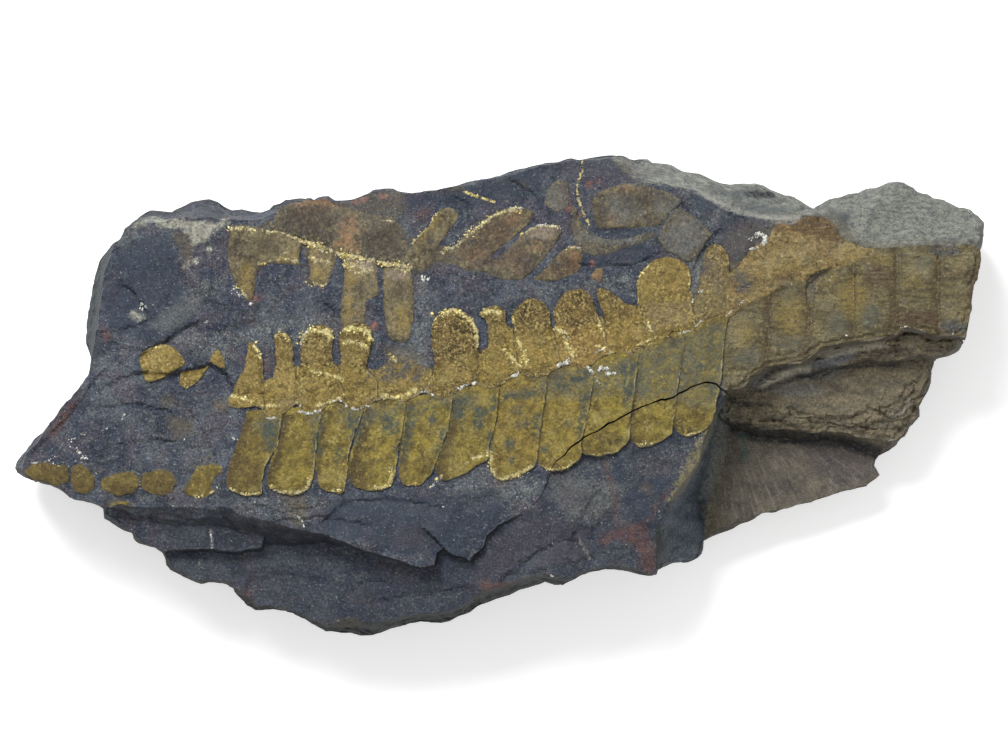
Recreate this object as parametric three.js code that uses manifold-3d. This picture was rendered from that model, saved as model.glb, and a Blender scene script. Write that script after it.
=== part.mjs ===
// Fossil bennettite leaf plate: a loose slab of laminated shale, 182 x 90 x 28 mm, with two fronds on its face.
// The slab is a stack of broken beds. Each bed is a block with an uneven top face, cut to its own broken edge,
// and all of them are trimmed by the worn outer wall. The leaflets are low pads on the top bed.
// +Z is up, +X runs along the slab, and the origin is under its middle, on the flat face that it rests on.
import * as THREE from 'three';
import { mergeVertices } from 'three/addons/utils/BufferGeometryUtils.js';
import Module from 'manifold-3d';

const wasm = await Module();
wasm.setup();

// Driving dimensions, in millimetres.
const faceZ = 26.3;
const lowerFaceZ = 25.9;
const middleShelfZ = 21.4;
const rightShelfZ = 22.6;
const rightTreadZ = 17.4;
const rightSillZ = 15.9;
const rightFootZ = 9.7;
const bevelFootZ = 17.5;
const rimFootZ = 12;
const backFootZ = 18;
const crackFootZ = 24.9;
const shelfFootZ = 18.6;
const treadFootZ = rightTreadZ - 0.6;
const sillTopFootZ = rightSillZ - 0.6;
const faceFootZ = rightFootZ - 0.6;
const sillFootZ = 8;
const deepZ = -5;
const gridStep = 6.3;
const lowerLeafletRelief = 0.55;
const upperLeafletRelief = 0.9;
const upperFilmRelief = 0.5;
const secondFrondRelief = 0.5;
const padDepth = 1.6;
const crackDepth = 1.1;
const crackWidth = 0.5;
const wallCentreY = 2;

// The broken wall: each level's height, its place as a scale in X and in Y, and how far it is worn back.
const wallLevels = [
  { z: 0, scaleX: 0.948, scaleY: 0.89, wear: 0.3 },
  { z: 4.6, scaleX: 0.98, scaleY: 0.957, wear: 0.5 },
  { z: 7.6, scaleX: 1, scaleY: 1, wear: 0 },
  { z: 10, scaleX: 0.997, scaleY: 0.995, wear: 0.4 },
  { z: 10.5, scaleX: 0.988, scaleY: 0.98, wear: 0.6 },
  { z: 14.4, scaleX: 0.992, scaleY: 0.987, wear: 0.6 },
  { z: 14.9, scaleX: 1, scaleY: 0.999, wear: 0.25 },
  { z: 18.8, scaleX: 0.997, scaleY: 0.995, wear: 0.5 },
  { z: 19.3, scaleX: 0.988, scaleY: 0.983, wear: 0.7 },
  { z: 23.4, scaleX: 0.992, scaleY: 0.989, wear: 0.5 },
  { z: 23.9, scaleX: 0.999, scaleY: 0.997, wear: 0.2 },
  { z: 32, scaleX: 0.994, scaleY: 0.99, wear: 0.2 },
];

// The slab's widest line, clockwise from its left tip.
const outline = [
  [-91.1, -13.6], [-89.6, -10.8], [-85.8, -6.8], [-80.2, -0.3], [-77.6, 2.9], [-76.7, 5.7],
  [-77.8, 10.4], [-77.2, 15.6], [-76.5, 19.7], [-75.5, 23.5], [-74.2, 26.5], [-72.4, 28.7],
  [-70.5, 30.4], [-69, 32.8], [-66.2, 34.5], [-63.4, 34.7], [-61.5, 34.5], [-58.7, 35.8], [-55.9, 36.9],
  [-53.3, 36.7], [-50.3, 35.1], [-47.1, 34.9], [-43.2, 35.1], [-40, 36.9], [-35, 36.9], [-32, 37.5],
  [-30.7, 36.7], [-26.9, 37.1], [-23.6, 38.8], [-19.8, 39], [-16.3, 38.2], [-5.4, 40.3],
  [0.2, 41.4], [5.8, 43.1], [12.9, 44.6], [22.3, 45.2], [27.9, 44.6], [31.6, 43.7], [34.8, 42],
  [41, 40.3], [43.2, 39.7], [48.2, 40.1], [52.5, 38.2], [55.4, 37.3], [58.9, 35.2], [61.9, 36.9], [65.6, 38.1],
  [71.2, 39.4], [74.6, 40.5], [77.8, 39.2], [84.3, 36.2], [88.5, 34.9], [91.1, 32.6],
  [90.9, 29.1], [90.3, 25], [89.8, 21.6], [88.6, 20.1], [88.5, 16], [87.7, 11.3], [86.8, 9.4], [84.7, 7.2],
  [82.1, 6.6], [81.2, 2.5], [79.1, -2.3], [79.3, -4], [77.4, -6.1], [75.5, -8.7], [73.7, -10.8], [71.8, -11.7],
  [70.9, -13.2], [72, -15.1], [69.4, -17.3], [59.1, -20.3], [46.9, -24],
  [41.3, -26.3], [38.7, -27.6], [38.3, -30], [35.7, -31.7], [31.6, -32.3], [29.7, -33.8], [28.8, -34.1],
  [24.5, -33.4], [20.4, -32.8], [15.1, -34.1], [12, -35.6], [8.6, -35.2], [3.9, -36.6], [0.2, -38.2],
  [-9.2, -42.5], [-16.6, -43.1], [-23.7, -45.2], [-27.9, -45], [-32.5, -44.6],
  [-37.2, -42], [-45.6, -40.5], [-48.8, -37.9], [-51.1, -35.6], [-54.4, -35.2], [-57.8, -35.1],
  [-61.9, -33], [-62.8, -30.8], [-64.7, -28.9], [-68.6, -27], [-70.5, -25.5], [-74.4, -23.3], [-74.4, -21.4],
  [-78.4, -20.1], [-80.6, -19.4], [-82.7, -17.5], [-87.7, -16], [-90.7, -14.9],
];

// Edges of the beds. A row is the edge's x and y at the top, then the foot's x, y and z below it.
const mainBedEdge = [
  [-89, -13.9, -91.8, -14.1, rimFootZ], [-88.2, -11.5, -90.8, -11.4, rimFootZ],
  [-84.6, -7, -86.9, -6.7, rimFootZ], [-80.3, -1.3, -82.4, -0.9, rimFootZ],
  [-76.6, 3.6, -78.4, 3.9, rimFootZ], [-75.5, 8.5, -78.6, 8.6, rimFootZ],
  [-74.9, 12.5, -78.3, 12.8, rimFootZ], [-74.3, 17, -77.8, 17.2, rimFootZ],
  [-73.5, 22.5, -76.7, 23, rimFootZ], [-72, 27, -75, 28.2, rimFootZ],
  [-69.8, 31, -71.6, 33, rimFootZ], [-67, 32.1, -67.6, 35.2, rimFootZ],
  [-62.5, 32, -62.5, 35.6, 15], [-58.4, 33.2, -58.8, 36.9, 15],
  [-55, 33, -55.1, 37.8, 15], [-51.5, 32.7, -51, 36.6, 15],
  [-45.5, 32.7, -45.4, 35.8, 16], [-42.2, 33.7, -42.6, 36.6, 16],
  [-39, 35.2, -40.4, 37.8, 16], [-35, 36.1, -35, 38, backFootZ],
  [-32, 36.7, -31.9, 38.5, backFootZ], [-29.4, 35.9, -29.6, 37.8, backFootZ],
  [-24.4, 37.6, -25, 39.2, backFootZ], [-20.5, 38.3, -20.5, 40, backFootZ],
  [-16, 37.5, -16, 39.3, backFootZ], [-6, 39.3, -6.2, 41.2, backFootZ],
  [4, 41.8, 3.6, 43.6, backFootZ], [13, 43.8, 12.8, 45.7, backFootZ],
  [21.6, 44.1, 22, 46.1, bevelFootZ], [24.2, 41, 27.5, 45.4, bevelFootZ],
  [28.6, 39.8, 31.8, 44.6, bevelFootZ], [33, 38.9, 35.8, 42.9, bevelFootZ],
  [37.2, 37.5, 41.2, 41.4, bevelFootZ], [40.4, 35.5, 45.4, 40.8, bevelFootZ],
  [44.4, 34, 49.6, 40.8, bevelFootZ], [49, 32.7, 53.3, 39, bevelFootZ],
  [53.4, 32.5, 56.8, 37.8, bevelFootZ], [56.6, 33.4, 58.9, 35.9, bevelFootZ],
  [59.6, 33.4, 61.4, 37.6, bevelFootZ], [62.2, 32.2, 65.9, 39, bevelFootZ],
  [63.5, 29.8, 71, 40.3, bevelFootZ], [66.8, 27.8, 75, 41.7, bevelFootZ],
  [70.4, 26.9, 78.8, 39.8, bevelFootZ], [75.6, 27.4, 83.3, 37.6, bevelFootZ],
  [82, 27.6, 89, 36, bevelFootZ], [88.2, 27.6, 92.4, 32.8, bevelFootZ],
  [89.8, 26.4, 91.9, 26.6, rimFootZ], [89.2, 22, 90.9, 21.8, rimFootZ],
  [88, 19.8, 89.7, 19.6, rimFootZ], [87.7, 15.5, 89.6, 15.4, rimFootZ],
  [86.6, 11, 88.9, 10.4, rimFootZ], [81.5, 11, 81.6, 10.2, rightShelfZ],
  [78.7, 12, 78.8, 11.1, rightShelfZ], [75.9, 12.5, 75.9, 11.6, rightShelfZ],
  [73.6, 11.2, 73.8, 10.3, rightShelfZ], [67.5, 10.2, 67.6, 9.3, rightShelfZ],
  [62.8, 9.4, 63, 8.6, rightShelfZ], [60, 9, 60.3, 8, rightShelfZ],
  [58, 7.6, 58.4, 6.7, rightShelfZ], [55.9, 6.3, 56.1, 5.4, rightShelfZ],
  [50.9, 5.6, 51.3, 4.6, rightShelfZ], [46.9, 3.3, 47.5, 2.3, rightShelfZ],
  [45.1, 1, 45.7, 0.2, 21], [42.4, 0.9, 42.6, -0.2, 20],
  [41.4, 1.1, 41, 0.9, crackFootZ], [40.6, 2, 40.2, 1.7, crackFootZ],
  [38.4, 2.4, 38.4, 2, crackFootZ], [35.7, 1.8, 35.8, 1.4, crackFootZ],
  [32.6, -0.1, 32.8, -0.5, crackFootZ], [28.4, -1.3, 28.6, -1.7, crackFootZ],
  [24.8, -3, 25, -3.4, crackFootZ], [21.7, -4.6, 21.9, -5, crackFootZ],
  [17.2, -7.1, 17.4, -7.5, crackFootZ], [12.7, -10.2, 13, -10.5, crackFootZ],
  [10.2, -12.8, 10.6, -13, crackFootZ], [9.2, -15.8, 9.6, -15.9, crackFootZ],
  [7.2, -19.6, 7.6, -19.8, 24.6], [5.2, -21.2, 5.4, -21.6, 24.4],
  [1.7, -23.2, 1.9, -23.7, 24.2], [-0.6, -24, -0.2, -24.4, 24],
  [-2.2, -26.2, -1.7, -26.4, 23.8], [-2.9, -28.2, -2.4, -28.5, 23.6],
  [-5.6, -30.7, -5.5, -31.2, 23.2], [-7.9, -29.7, -7.9, -30.2, 23],
  [-10.4, -28.2, -10.2, -28.8, 22.6], [-11.6, -29.2, -11, -29.6, 22.4],
  [-12.2, -31.6, -11.8, -32.1, 22.2], [-16.4, -31.4, -16.4, -31.9, 21.6],
  [-24, -28.9, -24, -29.4, 20.6], [-30.4, -26.7, -30.2, -28, 19.8],
  [-39.1, -24.2, -38.9, -28.2, 19.4], [-46.6, -22.5, -46.4, -27.6, 19.8],
  [-51.2, -21, -51, -25.4, 21.6], [-57, -20.5, -57, -24.6, 21.8],
  [-69, -20.7, -68.6, -23.4, 21.8], [-75.2, -20.2, -75, -22, rimFootZ],
  [-79, -19.1, -79.4, -20.9, rimFootZ], [-81.8, -17.4, -82.8, -19, rimFootZ],
  [-86.4, -15.6, -86.6, -17.2, rimFootZ],
];
const lowerBedEdge = [
  [42.4, 0.2, 43.6, -0.6, 16], [41, -1.8, 42.6, -2.8, faceFootZ],
  [39.6, -5, 41.4, -6.2, faceFootZ], [38.1, -9.3, 40.2, -10, faceFootZ],
  [36.4, -13.4, 38.7, -14.4, faceFootZ], [33.8, -17.1, 38.2, -18.8, faceFootZ],
  [30.8, -20.6, 38.2, -23.4, faceFootZ], [29.2, -25, 39.6, -28.4, faceFootZ],
  [28.9, -29, 38.6, -31.6, faceFootZ], [29.4, -32, 33.4, -33.4, rimFootZ],
  [28.4, -33.2, 29, -35.2, rimFootZ], [24.5, -32, 24.4, -34.4, rimFootZ],
  [20.4, -31.6, 20.4, -33.8, rimFootZ], [15.3, -32.8, 15, -35.2, rimFootZ],
  [12, -34.2, 12, -36.7, rimFootZ], [8.6, -33.8, 8.5, -36.3, rimFootZ],
  [1, -36, 0.4, -39.2, rimFootZ], [-5, -39, -5.8, -42, rimFootZ],
  [-9.4, -41.2, -9.8, -43.8, rimFootZ], [-16.6, -41.6, -16.8, -44.2, rimFootZ],
  [-23.6, -42.6, -23.8, -46.3, rimFootZ], [-28, -42, -28, -46, rimFootZ],
  [-32, -43, -32.6, -45.7, rimFootZ], [-37, -41.1, -37.6, -43, rimFootZ],
  [-41, -39.8, -41.2, -41.7, rimFootZ], [-45.2, -39.5, -46, -41.5, rimFootZ],
  [-48, -37.3, -49.4, -38.8, rimFootZ], [-50.8, -34.9, -51.5, -36.6, rimFootZ],
  [-57.4, -34.2, -57.8, -36.1, rimFootZ], [-61, -32.2, -62.8, -33.6, rimFootZ],
  [-62, -30.4, -64, -30.8, rimFootZ], [-63, -27, -63.2, -27.2, rimFootZ],
  [-60, -22, -60, -22.2, rimFootZ], [-14, -20, -14, -20.2, rimFootZ],
  [0, -14, 0, -14.2, rimFootZ], [16, -1, 16, -1.2, rimFootZ], [36, 7, 36, 6.8, rimFootZ],
];
const middleShelfEdge = [
  [-72, -17, -72, -17.2, shelfFootZ], [-46, -19, -46, -19.2, shelfFootZ],
  [-43, -25, -42.8, -25.2, shelfFootZ], [-44.6, -28.2, -44.4, -28.9, shelfFootZ],
  [-48.2, -29.2, -48.2, -29.7, shelfFootZ], [-52.2, -29.2, -52.2, -29.8, shelfFootZ],
  [-55.6, -28.4, -55.6, -28.9, shelfFootZ], [-58.7, -28.6, -58.7, -29.1, shelfFootZ],
  [-63.2, -29.2, -64, -30.9, rimFootZ], [-65.8, -27.8, -66.4, -29.6, rimFootZ],
  [-70.6, -24.2, -71.8, -26, rimFootZ], [-73.5, -22, -75.4, -22.6, rimFootZ],
];
const rightShelfEdge = [
  [85.4, 9.2, 87.8, 8.6, rimFootZ], [83.6, 7.4, 84.9, 5.8, rimFootZ],
  [78.7, 7.2, 78.8, 6.4, treadFootZ], [74.6, 6.7, 74.6, 5.9, treadFootZ],
  [71.2, 6.9, 71.2, 6.1, treadFootZ], [65.4, 6.4, 65.5, 5.6, treadFootZ],
  [61, 4.6, 61.2, 3.8, treadFootZ], [56.3, 4.3, 56.5, 3.5, treadFootZ],
  [52.5, 3, 52.7, 2.2, treadFootZ], [48.9, 1.9, 49.2, 1.1, treadFootZ],
  [46.2, 0, 46.4, -0.8, treadFootZ], [43, 0.1, 43, -0.8, treadFootZ],
  [42, 5, 42, 4.8, treadFootZ], [60, 14, 60, 13.8, treadFootZ],
  [84.5, 13, 84.5, 12.8, treadFootZ],
];
const rightTreadEdge = [
  [81.2, 6.2, 83, 6, rimFootZ], [80.4, 2.6, 82.2, 2.2, rimFootZ],
  [77.2, -0.6, 80.4, -1.6, rimFootZ], [76, -3.1, 76.3, -3.9, sillTopFootZ],
  [72.2, -4.2, 72.4, -5, sillTopFootZ], [69.4, -3.8, 69.4, -4.7, sillTopFootZ],
  [66.4, -4.9, 66.4, -5.5, sillTopFootZ], [60, -4.6, 60, -5.3, sillTopFootZ],
  [52.5, -4.2, 52.5, -4.9, sillTopFootZ], [49.7, -3.6, 49.7, -4.3, sillTopFootZ],
  [42.8, -3.7, 42.6, -4.4, sillTopFootZ], [40.5, 0, 40.5, -0.2, sillTopFootZ],
  [44, 6, 44, 5.8, sillTopFootZ], [82, 10, 82, 9.8, sillTopFootZ],
];
const rightSillEdge = [
  [80.6, 3, 81.6, 2.6, sillFootZ], [78.6, -2.4, 80.4, -2.6, sillFootZ], [78.4, -4, 80.6, -4.4, sillFootZ],
  [76.2, -6.4, 78.4, -7.2, sillFootZ], [74.8, -8.2, 76.8, -9.8, sillFootZ], [71.8, -8.5, 72.4, -13, sillFootZ],
  [69.4, -8, 70, -12, sillFootZ], [65.6, -7.3, 65.8, -10.3, sillFootZ], [61.9, -6.9, 62, -9.4, sillFootZ],
  [54.4, -6.6, 54.4, -9.2, sillFootZ], [48.8, -6.5, 48.8, -8.5, sillFootZ], [45.1, -5.9, 45.4, -7.5, sillFootZ],
  [42.3, -4.7, 42.6, -5.6, sillFootZ], [40, 0, 40, -0.2, sillFootZ], [79, 6, 79, 5.8, sillFootZ],
];
const rightFootEdge = [
  [92, 34, 92, 33.8, sillFootZ], [92, -20, 92, -20.2, sillFootZ],
  [34, -34, 34, -34.2, sillFootZ], [34, 34, 34, 33.8, sillFootZ],
];

// The hairline crack that runs from the lower bed's corner across the lower leaflets.
const crackLine = [
  [6, -20.6], [7.6, -19], [8.6, -16.8], [9.7, -13.4], [12.7, -10.2], [17, -7.2], [21.7, -4.6], [24.7, -3.1],
  [27.6, -1.7], [32.5, -0.3], [35.7, 1.8], [38.2, 2.5], [40.5, 2.1], [41.8, 0.9],
];

// The upper row's film lies over the lower row and ends in a scalloped step, listed from right to left.
const upperFilm = [
  [-50.6, -0.6], [-48.6, 2], [-39, 3.4], [-24, 3.8], [-12, 6.4], [4, 9], [20, 13], [30, 17], [43, 21.6],
  [50, 29.6], [56, 32.6], [61.6, 31.6], [67.4, 27], [65.6, 24.4], [56.3, 21.2], [49.7, 18.2], [45.1, 17.3],
  [40.4, 14.1], [35.7, 12.2], [29.2, 10], [23.6, 7.8], [20.8, 7.9], [17, 5.3], [13.3, 5.5], [10.1, 4.8],
  [8.6, 3.5], [4.2, 3.9], [0.2, 1.8], [-1.7, 1.4], [-4.5, 2.3], [-6.9, 1.8], [-9.7, -0.3], [-13.8, 0.8],
  [-17.6, -1.2], [-23.2, -1], [-26.4, -2.3], [-29.7, -0.8], [-35, -3.3], [-37.6, -1.2], [-42.6, -4.2],
  [-44.4, -2],
];

// Leaflets that are plain straps: base x, base y, tip x, tip y, width at the base, width at the tip.
const lowerLeaflets = [
  [-42.9, -4.4, -47.4, -18.7, 5.2, 6.6], [-36.5, -3.4, -38.9, -18.8, 6.8, 8.4],
  [-29.4, -3.1, -30.9, -18.3, 5.4, 5.8], [-21.9, -2.4, -24.2, -17.8, 6.2, 8],
  [-12.8, -1.4, -15.2, -17.1, 7.6, 6.6], [-4.4, 0.3, -6.8, -15.2, 7.6, 7.8],
  [4.5, 2.3, 2.2, -16.1, 8, 8.2], [13.1, 4, 11, -14.3, 7.9, 8],
  [21.4, 5.8, 19.6, -11.5, 7.8, 8.3], [29.8, 7.6, 28, -9.6, 7.6, 7.8], [37.9, 9.8, 35.9, -7.7, 7.4, 7.2],
  [46.1, 13.6, 45.7, 1.9, 7.6, 6.4], [54.3, 17.4, 53.7, 6.3, 7.6, 7.4], [62, 21.4, 61.8, 9.8, 7.2, 7.4],
  [70, 24.9, 70, 11.3, 7.3, 7.3], [77.8, 26.4, 77.9, 12.4, 7.3, 7.3], [85.3, 26.6, 84.6, 11.6, 6.8, 5.6],
];
const upperLeaflets = [
  [-46.6, -0.8, -45.8, 10, 5.6, 3], [-40.3, -3.4, -40.3, 11.8, 6.4, 3.6], [-33.6, -2.6, -34, 13.2, 6.8, 6.2],
  [-25.6, -1.4, -26.7, 13.2, 7.2, 6], [-8, 1.4, -8.2, 16.6, 8.4, 9], [-0.2, 2.6, -1.2, 16.7, 6.6, 4.8],
  [7.4, 4.6, 6.1, 18.3, 7.6, 7.4], [15.6, 7, 14.3, 20, 7.6, 7.8], [23.6, 9.8, 21.4, 20.4, 6.8, 6.6],
  [31.9, 12.4, 30.6, 25.7, 8, 9.4], [39.6, 15.4, 40, 28.3, 6.4, 5],
];
const secondFrondLeaflets = [
  [-47.6, 31, -46.9, 17.6, 5, 3.6], [-40.4, 30, -40.2, 24.9, 6.6, 5], [-33.2, 27.8, -33.8, 20.4, 5.6, 4.2],
  [-25.8, 25.4, -26.9, 13.8, 6.8, 4.8], [-18.9, 23.2, -18.6, 9.9, 5.6, 5.2],
  [-21.4, 26.4, -21.6, 33, 6.2, 5], [-15.2, 26.6, -9, 35.1, 5.6, 4.4], [-6.2, 25, 4.4, 35, 6.8, 5],
  [2.2, 23.2, 9.6, 31.7, 7.2, 6], [9.4, 22.2, 14.8, 28, 4.8, 4.4], [19.6, 34.8, 30.4, 35.2, 6.4, 6],
  [34.6, 25.6, 34.8, 34.4, 5.6, 6],
];
const looseTips = [
  [-55.4, -12.6, -55.6, -19.1, 4.4, 6.4], [-63.4, -13.8, -63.6, -18.8, 4.8, 5.8],
  [-70.4, -14.1, -70.6, -18.8, 5.4, 6.4], [-77.4, -12.8, -77.6, -18.6, 3.8, 4.8],
  [-81, -14.2, -88.3, -14.2, 3.2, 2.6], [-62.4, 9.5, -64.2, 2.4, 6.4, 5], [-54.6, 5.4, -58.6, 1.6, 1.6, 2.8],
];

function bedding(x, y) {
  const broad = 0.35 * Math.sin(0.07 * x + 0.13 * y + 0.6);
  const middle = 0.25 * Math.sin(0.19 * x - 0.11 * y + 2.1);
  return broad + middle + 0.12 * Math.sin(0.43 * x + 0.37 * y + 4);
}

function mainFace(x, y) {
  const leftFall = 0.06 * Math.max(0, -62 - x);
  const rightFall = 0.02 * Math.max(0, x - 45);
  return faceZ + bedding(x, y) - leftFall - rightFall;
}

function upperFilmFace(x, y) {
  return mainFace(x, y) + upperFilmRelief;
}

function lowerFace(x, y) {
  const along = THREE.MathUtils.clamp((8 - x) / 52, 0, 1);
  const fall = 0.09 * Math.max(0, -16 - y);
  return lowerFaceZ + bedding(x, y) - 5.8 * along - fall;
}

function middleShelf(x, y) {
  return middleShelfZ + 0.2 * (y + 28) + 0.5 * bedding(x, y);
}

function rightShelf(x, y) {
  return rightShelfZ + 0.22 * (y - 8.5) - 0.03 * (x - 60) + 0.5 * bedding(x, y);
}

function rightTread(x, y) {
  return rightTreadZ + 0.05 * y - 0.02 * (x - 60) + 0.6 * bedding(x, y);
}

function rightSill(x, y) {
  return rightSillZ + 0.08 * (y + 6) - 0.02 * (x - 60) + 0.5 * bedding(x, y);
}

function rightFoot(x, y) {
  return rightFootZ - 0.02 * (x - 55) + 0.03 * (y + 15) + 0.7 * bedding(x, y);
}

// Solids from lists of vertices and triangles.
function toManifold(vertices, triangles) {
  const geometry = new THREE.BufferGeometry();
  geometry.setAttribute('position', new THREE.Float32BufferAttribute(vertices.flat(), 3));
  geometry.setIndex(triangles.flat());
  const merged = mergeVertices(geometry, 1e-4);
  const vertProperties = Float32Array.from(merged.attributes.position.array);
  const triVerts = Uint32Array.from(merged.index.array);
  return new wasm.Manifold(new wasm.Mesh({ numProp: 3, vertProperties, triVerts }));
}

// Rings run clockwise seen from above, lowest first, each with the same number of points.
function loft(rings) {
  const count = rings[0].length;
  const vertices = rings.flat();
  const triangles = [];
  for (let ring = 0; ring < rings.length - 1; ring += 1) {
    for (let i = 0; i < count; i += 1) {
      const a = ring * count + i;
      const b = ring * count + ((i + 1) % count);
      triangles.push([a, a + count, b], [b, a + count, b + count]);
    }
  }
  const top = (rings.length - 1) * count;
  for (const ring of [0, rings.length - 1]) {
    const flat = rings[ring].map(([x, y]) => new THREE.Vector2(x, y));
    for (const [a, b, c] of THREE.ShapeUtils.triangulateShape(flat, [])) {
      const turn = flat[b].clone().sub(flat[a]).cross(flat[c].clone().sub(flat[a]));
      const up = turn > 0 ? [a, b, c] : [a, c, b];
      triangles.push(ring === 0 ? [up[0], up[2], up[1]] : up.map((v) => v + top));
    }
  }
  return toManifold(vertices, triangles);
}

// A block whose top follows a height function, over a rectangle.
function faceBlock([x0, y0, x1, y1], height) {
  const nx = Math.ceil((x1 - x0) / gridStep);
  const ny = Math.ceil((y1 - y0) / gridStep);
  const vertices = [];
  for (let j = 0; j <= ny; j += 1) {
    for (let i = 0; i <= nx; i += 1) {
      const x = x0 + ((x1 - x0) * i) / nx;
      const y = y0 + ((y1 - y0) * j) / ny;
      vertices.push([x, y, height(x, y)]);
    }
  }
  const at = (i, j) => j * (nx + 1) + i;
  const triangles = [];
  for (let j = 0; j < ny; j += 1) {
    for (let i = 0; i < nx; i += 1) {
      const [a, b, c, d] = [at(i, j), at(i + 1, j), at(i + 1, j + 1), at(i, j + 1)];
      triangles.push(...((i + j) % 2 ? [[a, b, c], [a, c, d]] : [[a, b, d], [b, c, d]]));
    }
  }
  const border = [];
  for (let i = 0; i < nx; i += 1) border.push(at(i, 0));
  for (let j = 0; j < ny; j += 1) border.push(at(nx, j));
  for (let i = nx; i > 0; i -= 1) border.push(at(i, ny));
  for (let j = ny; j > 0; j -= 1) border.push(at(0, j));
  const first = vertices.length;
  for (const v of border) vertices.push([vertices[v][0], vertices[v][1], deepZ - 1]);
  const centre = vertices.length;
  vertices.push([(x0 + x1) / 2, (y0 + y1) / 2, deepZ - 1]);
  border.forEach((v, k) => {
    const next = (k + 1) % border.length;
    triangles.push([v, first + k, first + next], [v, first + next, border[next]]);
    triangles.push([centre, first + next, first + k]);
  });
  return toManifold(vertices, triangles);
}

// One bed: walls that slope from each edge point to its foot, cut by the bed's own top face.
function bed(edge, height) {
  const over = 0.6;
  const foot = edge.map(([, , x, y, z]) => [x, y, z]);
  const lip = edge.map(([x, y]) => [x, y, height(x, y)]);
  const beyond = edge.map(([x, y, fx, fy, fz]) => {
    const rise = over / Math.max(height(x, y) - fz, over);
    return [x + (x - fx) * rise, y + (y - fy) * rise, height(x, y) + over];
  });
  const low = foot.map(([x, y]) => [x, y, deepZ]);
  const high = beyond.map(([x, y]) => [x, y, faceZ + 10]);
  const xs = edge.flatMap((row) => [row[0], row[2]]);
  const ys = edge.flatMap((row) => [row[1], row[3]]);
  const box = [Math.min(...xs) - 1, Math.min(...ys) - 1, Math.max(...xs) + 1, Math.max(...ys) + 1];
  return loft([low, foot, lip, beyond, high]).intersect(faceBlock(box, height));
}

// The outer wall, with each level set back by its own amount along the slab, as broken laminae are.
function outerWall() {
  const rings = wallLevels.map(({ z, scaleX, scaleY, wear }, level) =>
    outline.map(([x, y], i) => {
      const before = outline[(i + outline.length - 1) % outline.length];
      const after = outline[(i + 1) % outline.length];
      const along = new THREE.Vector2(after[0] - before[0], after[1] - before[1]).normalize();
      const broad = Math.sin(0.31 * x + 0.23 * y + 2.4 * level);
      const fine = 0.6 * Math.sin(0.83 * x - 0.59 * y + 1.7 * level);
      const back = wear * Math.abs(broad + fine);
      return [x * scaleX + along.y * back, wallCentreY + (y - wallCentreY) * scaleY - along.x * back, z];
    }),
  );
  return loft(rings);
}

// A strap with a rounded tip, clockwise, as x and y pairs.
function strap([baseX, baseY, tipX, tipY, baseWidth, tipWidth]) {
  const axis = new THREE.Vector2(tipX - baseX, tipY - baseY);
  const length = axis.length();
  axis.normalize();
  const side = new THREE.Vector2(-axis.y, axis.x);
  const round = Math.min(tipWidth * 0.42, length * 0.5);
  const stations = [
    [0.3, 0.47], [length - round, 0.5], [length - round * 0.38, 0.41], [length - round * 0.08, 0.22],
  ];
  const left = stations.map(([along, half]) => {
    const width = THREE.MathUtils.lerp(baseWidth, tipWidth, along / length) * half;
    return [baseX + axis.x * along + side.x * width, baseY + axis.y * along + side.y * width];
  });
  const right = stations.map(([along, half]) => {
    const width = THREE.MathUtils.lerp(baseWidth, tipWidth, along / length) * half;
    return [baseX + axis.x * along - side.x * width, baseY + axis.y * along - side.y * width];
  });
  return [...left, ...right.reverse()];
}

// A low pad, which follows the face below it and narrows a little upwards.
function pad(rim, relief) {
  const centre = rim.reduce((sum, [x, y]) => [sum[0] + x / rim.length, sum[1] + y / rim.length], [0, 0]);
  const narrow = 0.94;
  const low = rim.map(([x, y]) => [x, y, mainFace(x, y) - padDepth]);
  const high = rim.map(([x, y]) => [
    centre[0] + (x - centre[0]) * narrow,
    centre[1] + (y - centre[1]) * narrow,
    mainFace(x, y) + relief,
  ]);
  return loft([low, high]);
}

// The crack: a thin wedge along its line, open at the face.
function crackWedge() {
  const sides = crackLine.map(([x, y], i) => {
    const before = crackLine[Math.max(i - 1, 0)];
    const after = crackLine[Math.min(i + 1, crackLine.length - 1)];
    const along = new THREE.Vector2(after[0] - before[0], after[1] - before[1]).normalize();
    const half = i === 0 || i === crackLine.length - 1 ? crackWidth * 0.1 : crackWidth / 2;
    return { x, y, nx: -along.y * half, ny: along.x * half };
  });
  const ring = (spread, rise) => [
    ...sides.map(({ x, y, nx, ny }) => [x + nx * spread, y + ny * spread, mainFace(x, y) + rise]),
    ...sides.map(({ x, y, nx, ny }) => [x - nx * spread, y - ny * spread, mainFace(x, y) + rise]).reverse(),
  ];
  return loft([ring(0.3, -crackDepth), ring(2.2, 3)]);
}

function fossilSlab() {
  let stone = bed(rightFootEdge, rightFoot);
  const beds = [
    [rightSillEdge, rightSill], [rightTreadEdge, rightTread], [rightShelfEdge, rightShelf],
    [lowerBedEdge, lowerFace], [middleShelfEdge, middleShelf], [mainBedEdge, mainFace],
    [upperFilm.map(([x, y]) => [x, y, x, y, faceZ - padDepth]), upperFilmFace],
  ];
  for (const [edge, height] of beds) stone = stone.add(bed(edge, height));
  const leaflets = [
    [[...lowerLeaflets, ...looseTips], lowerLeafletRelief],
    [upperLeaflets, upperLeafletRelief],
    [secondFrondLeaflets, secondFrondRelief],
  ];
  for (const [straps, relief] of leaflets) {
    for (const leaflet of straps) stone = stone.add(pad(strap(leaflet), relief));
  }
  return stone.intersect(outerWall()).subtract(crackWedge());
}

function toGeometry(solid) {
  const { vertProperties, triVerts } = solid.getMesh();
  const geometry = new THREE.BufferGeometry();
  geometry.setAttribute('position', new THREE.BufferAttribute(Float32Array.from(vertProperties), 3));
  geometry.setIndex(new THREE.BufferAttribute(Uint32Array.from(triVerts), 1));
  return geometry;
}

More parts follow.
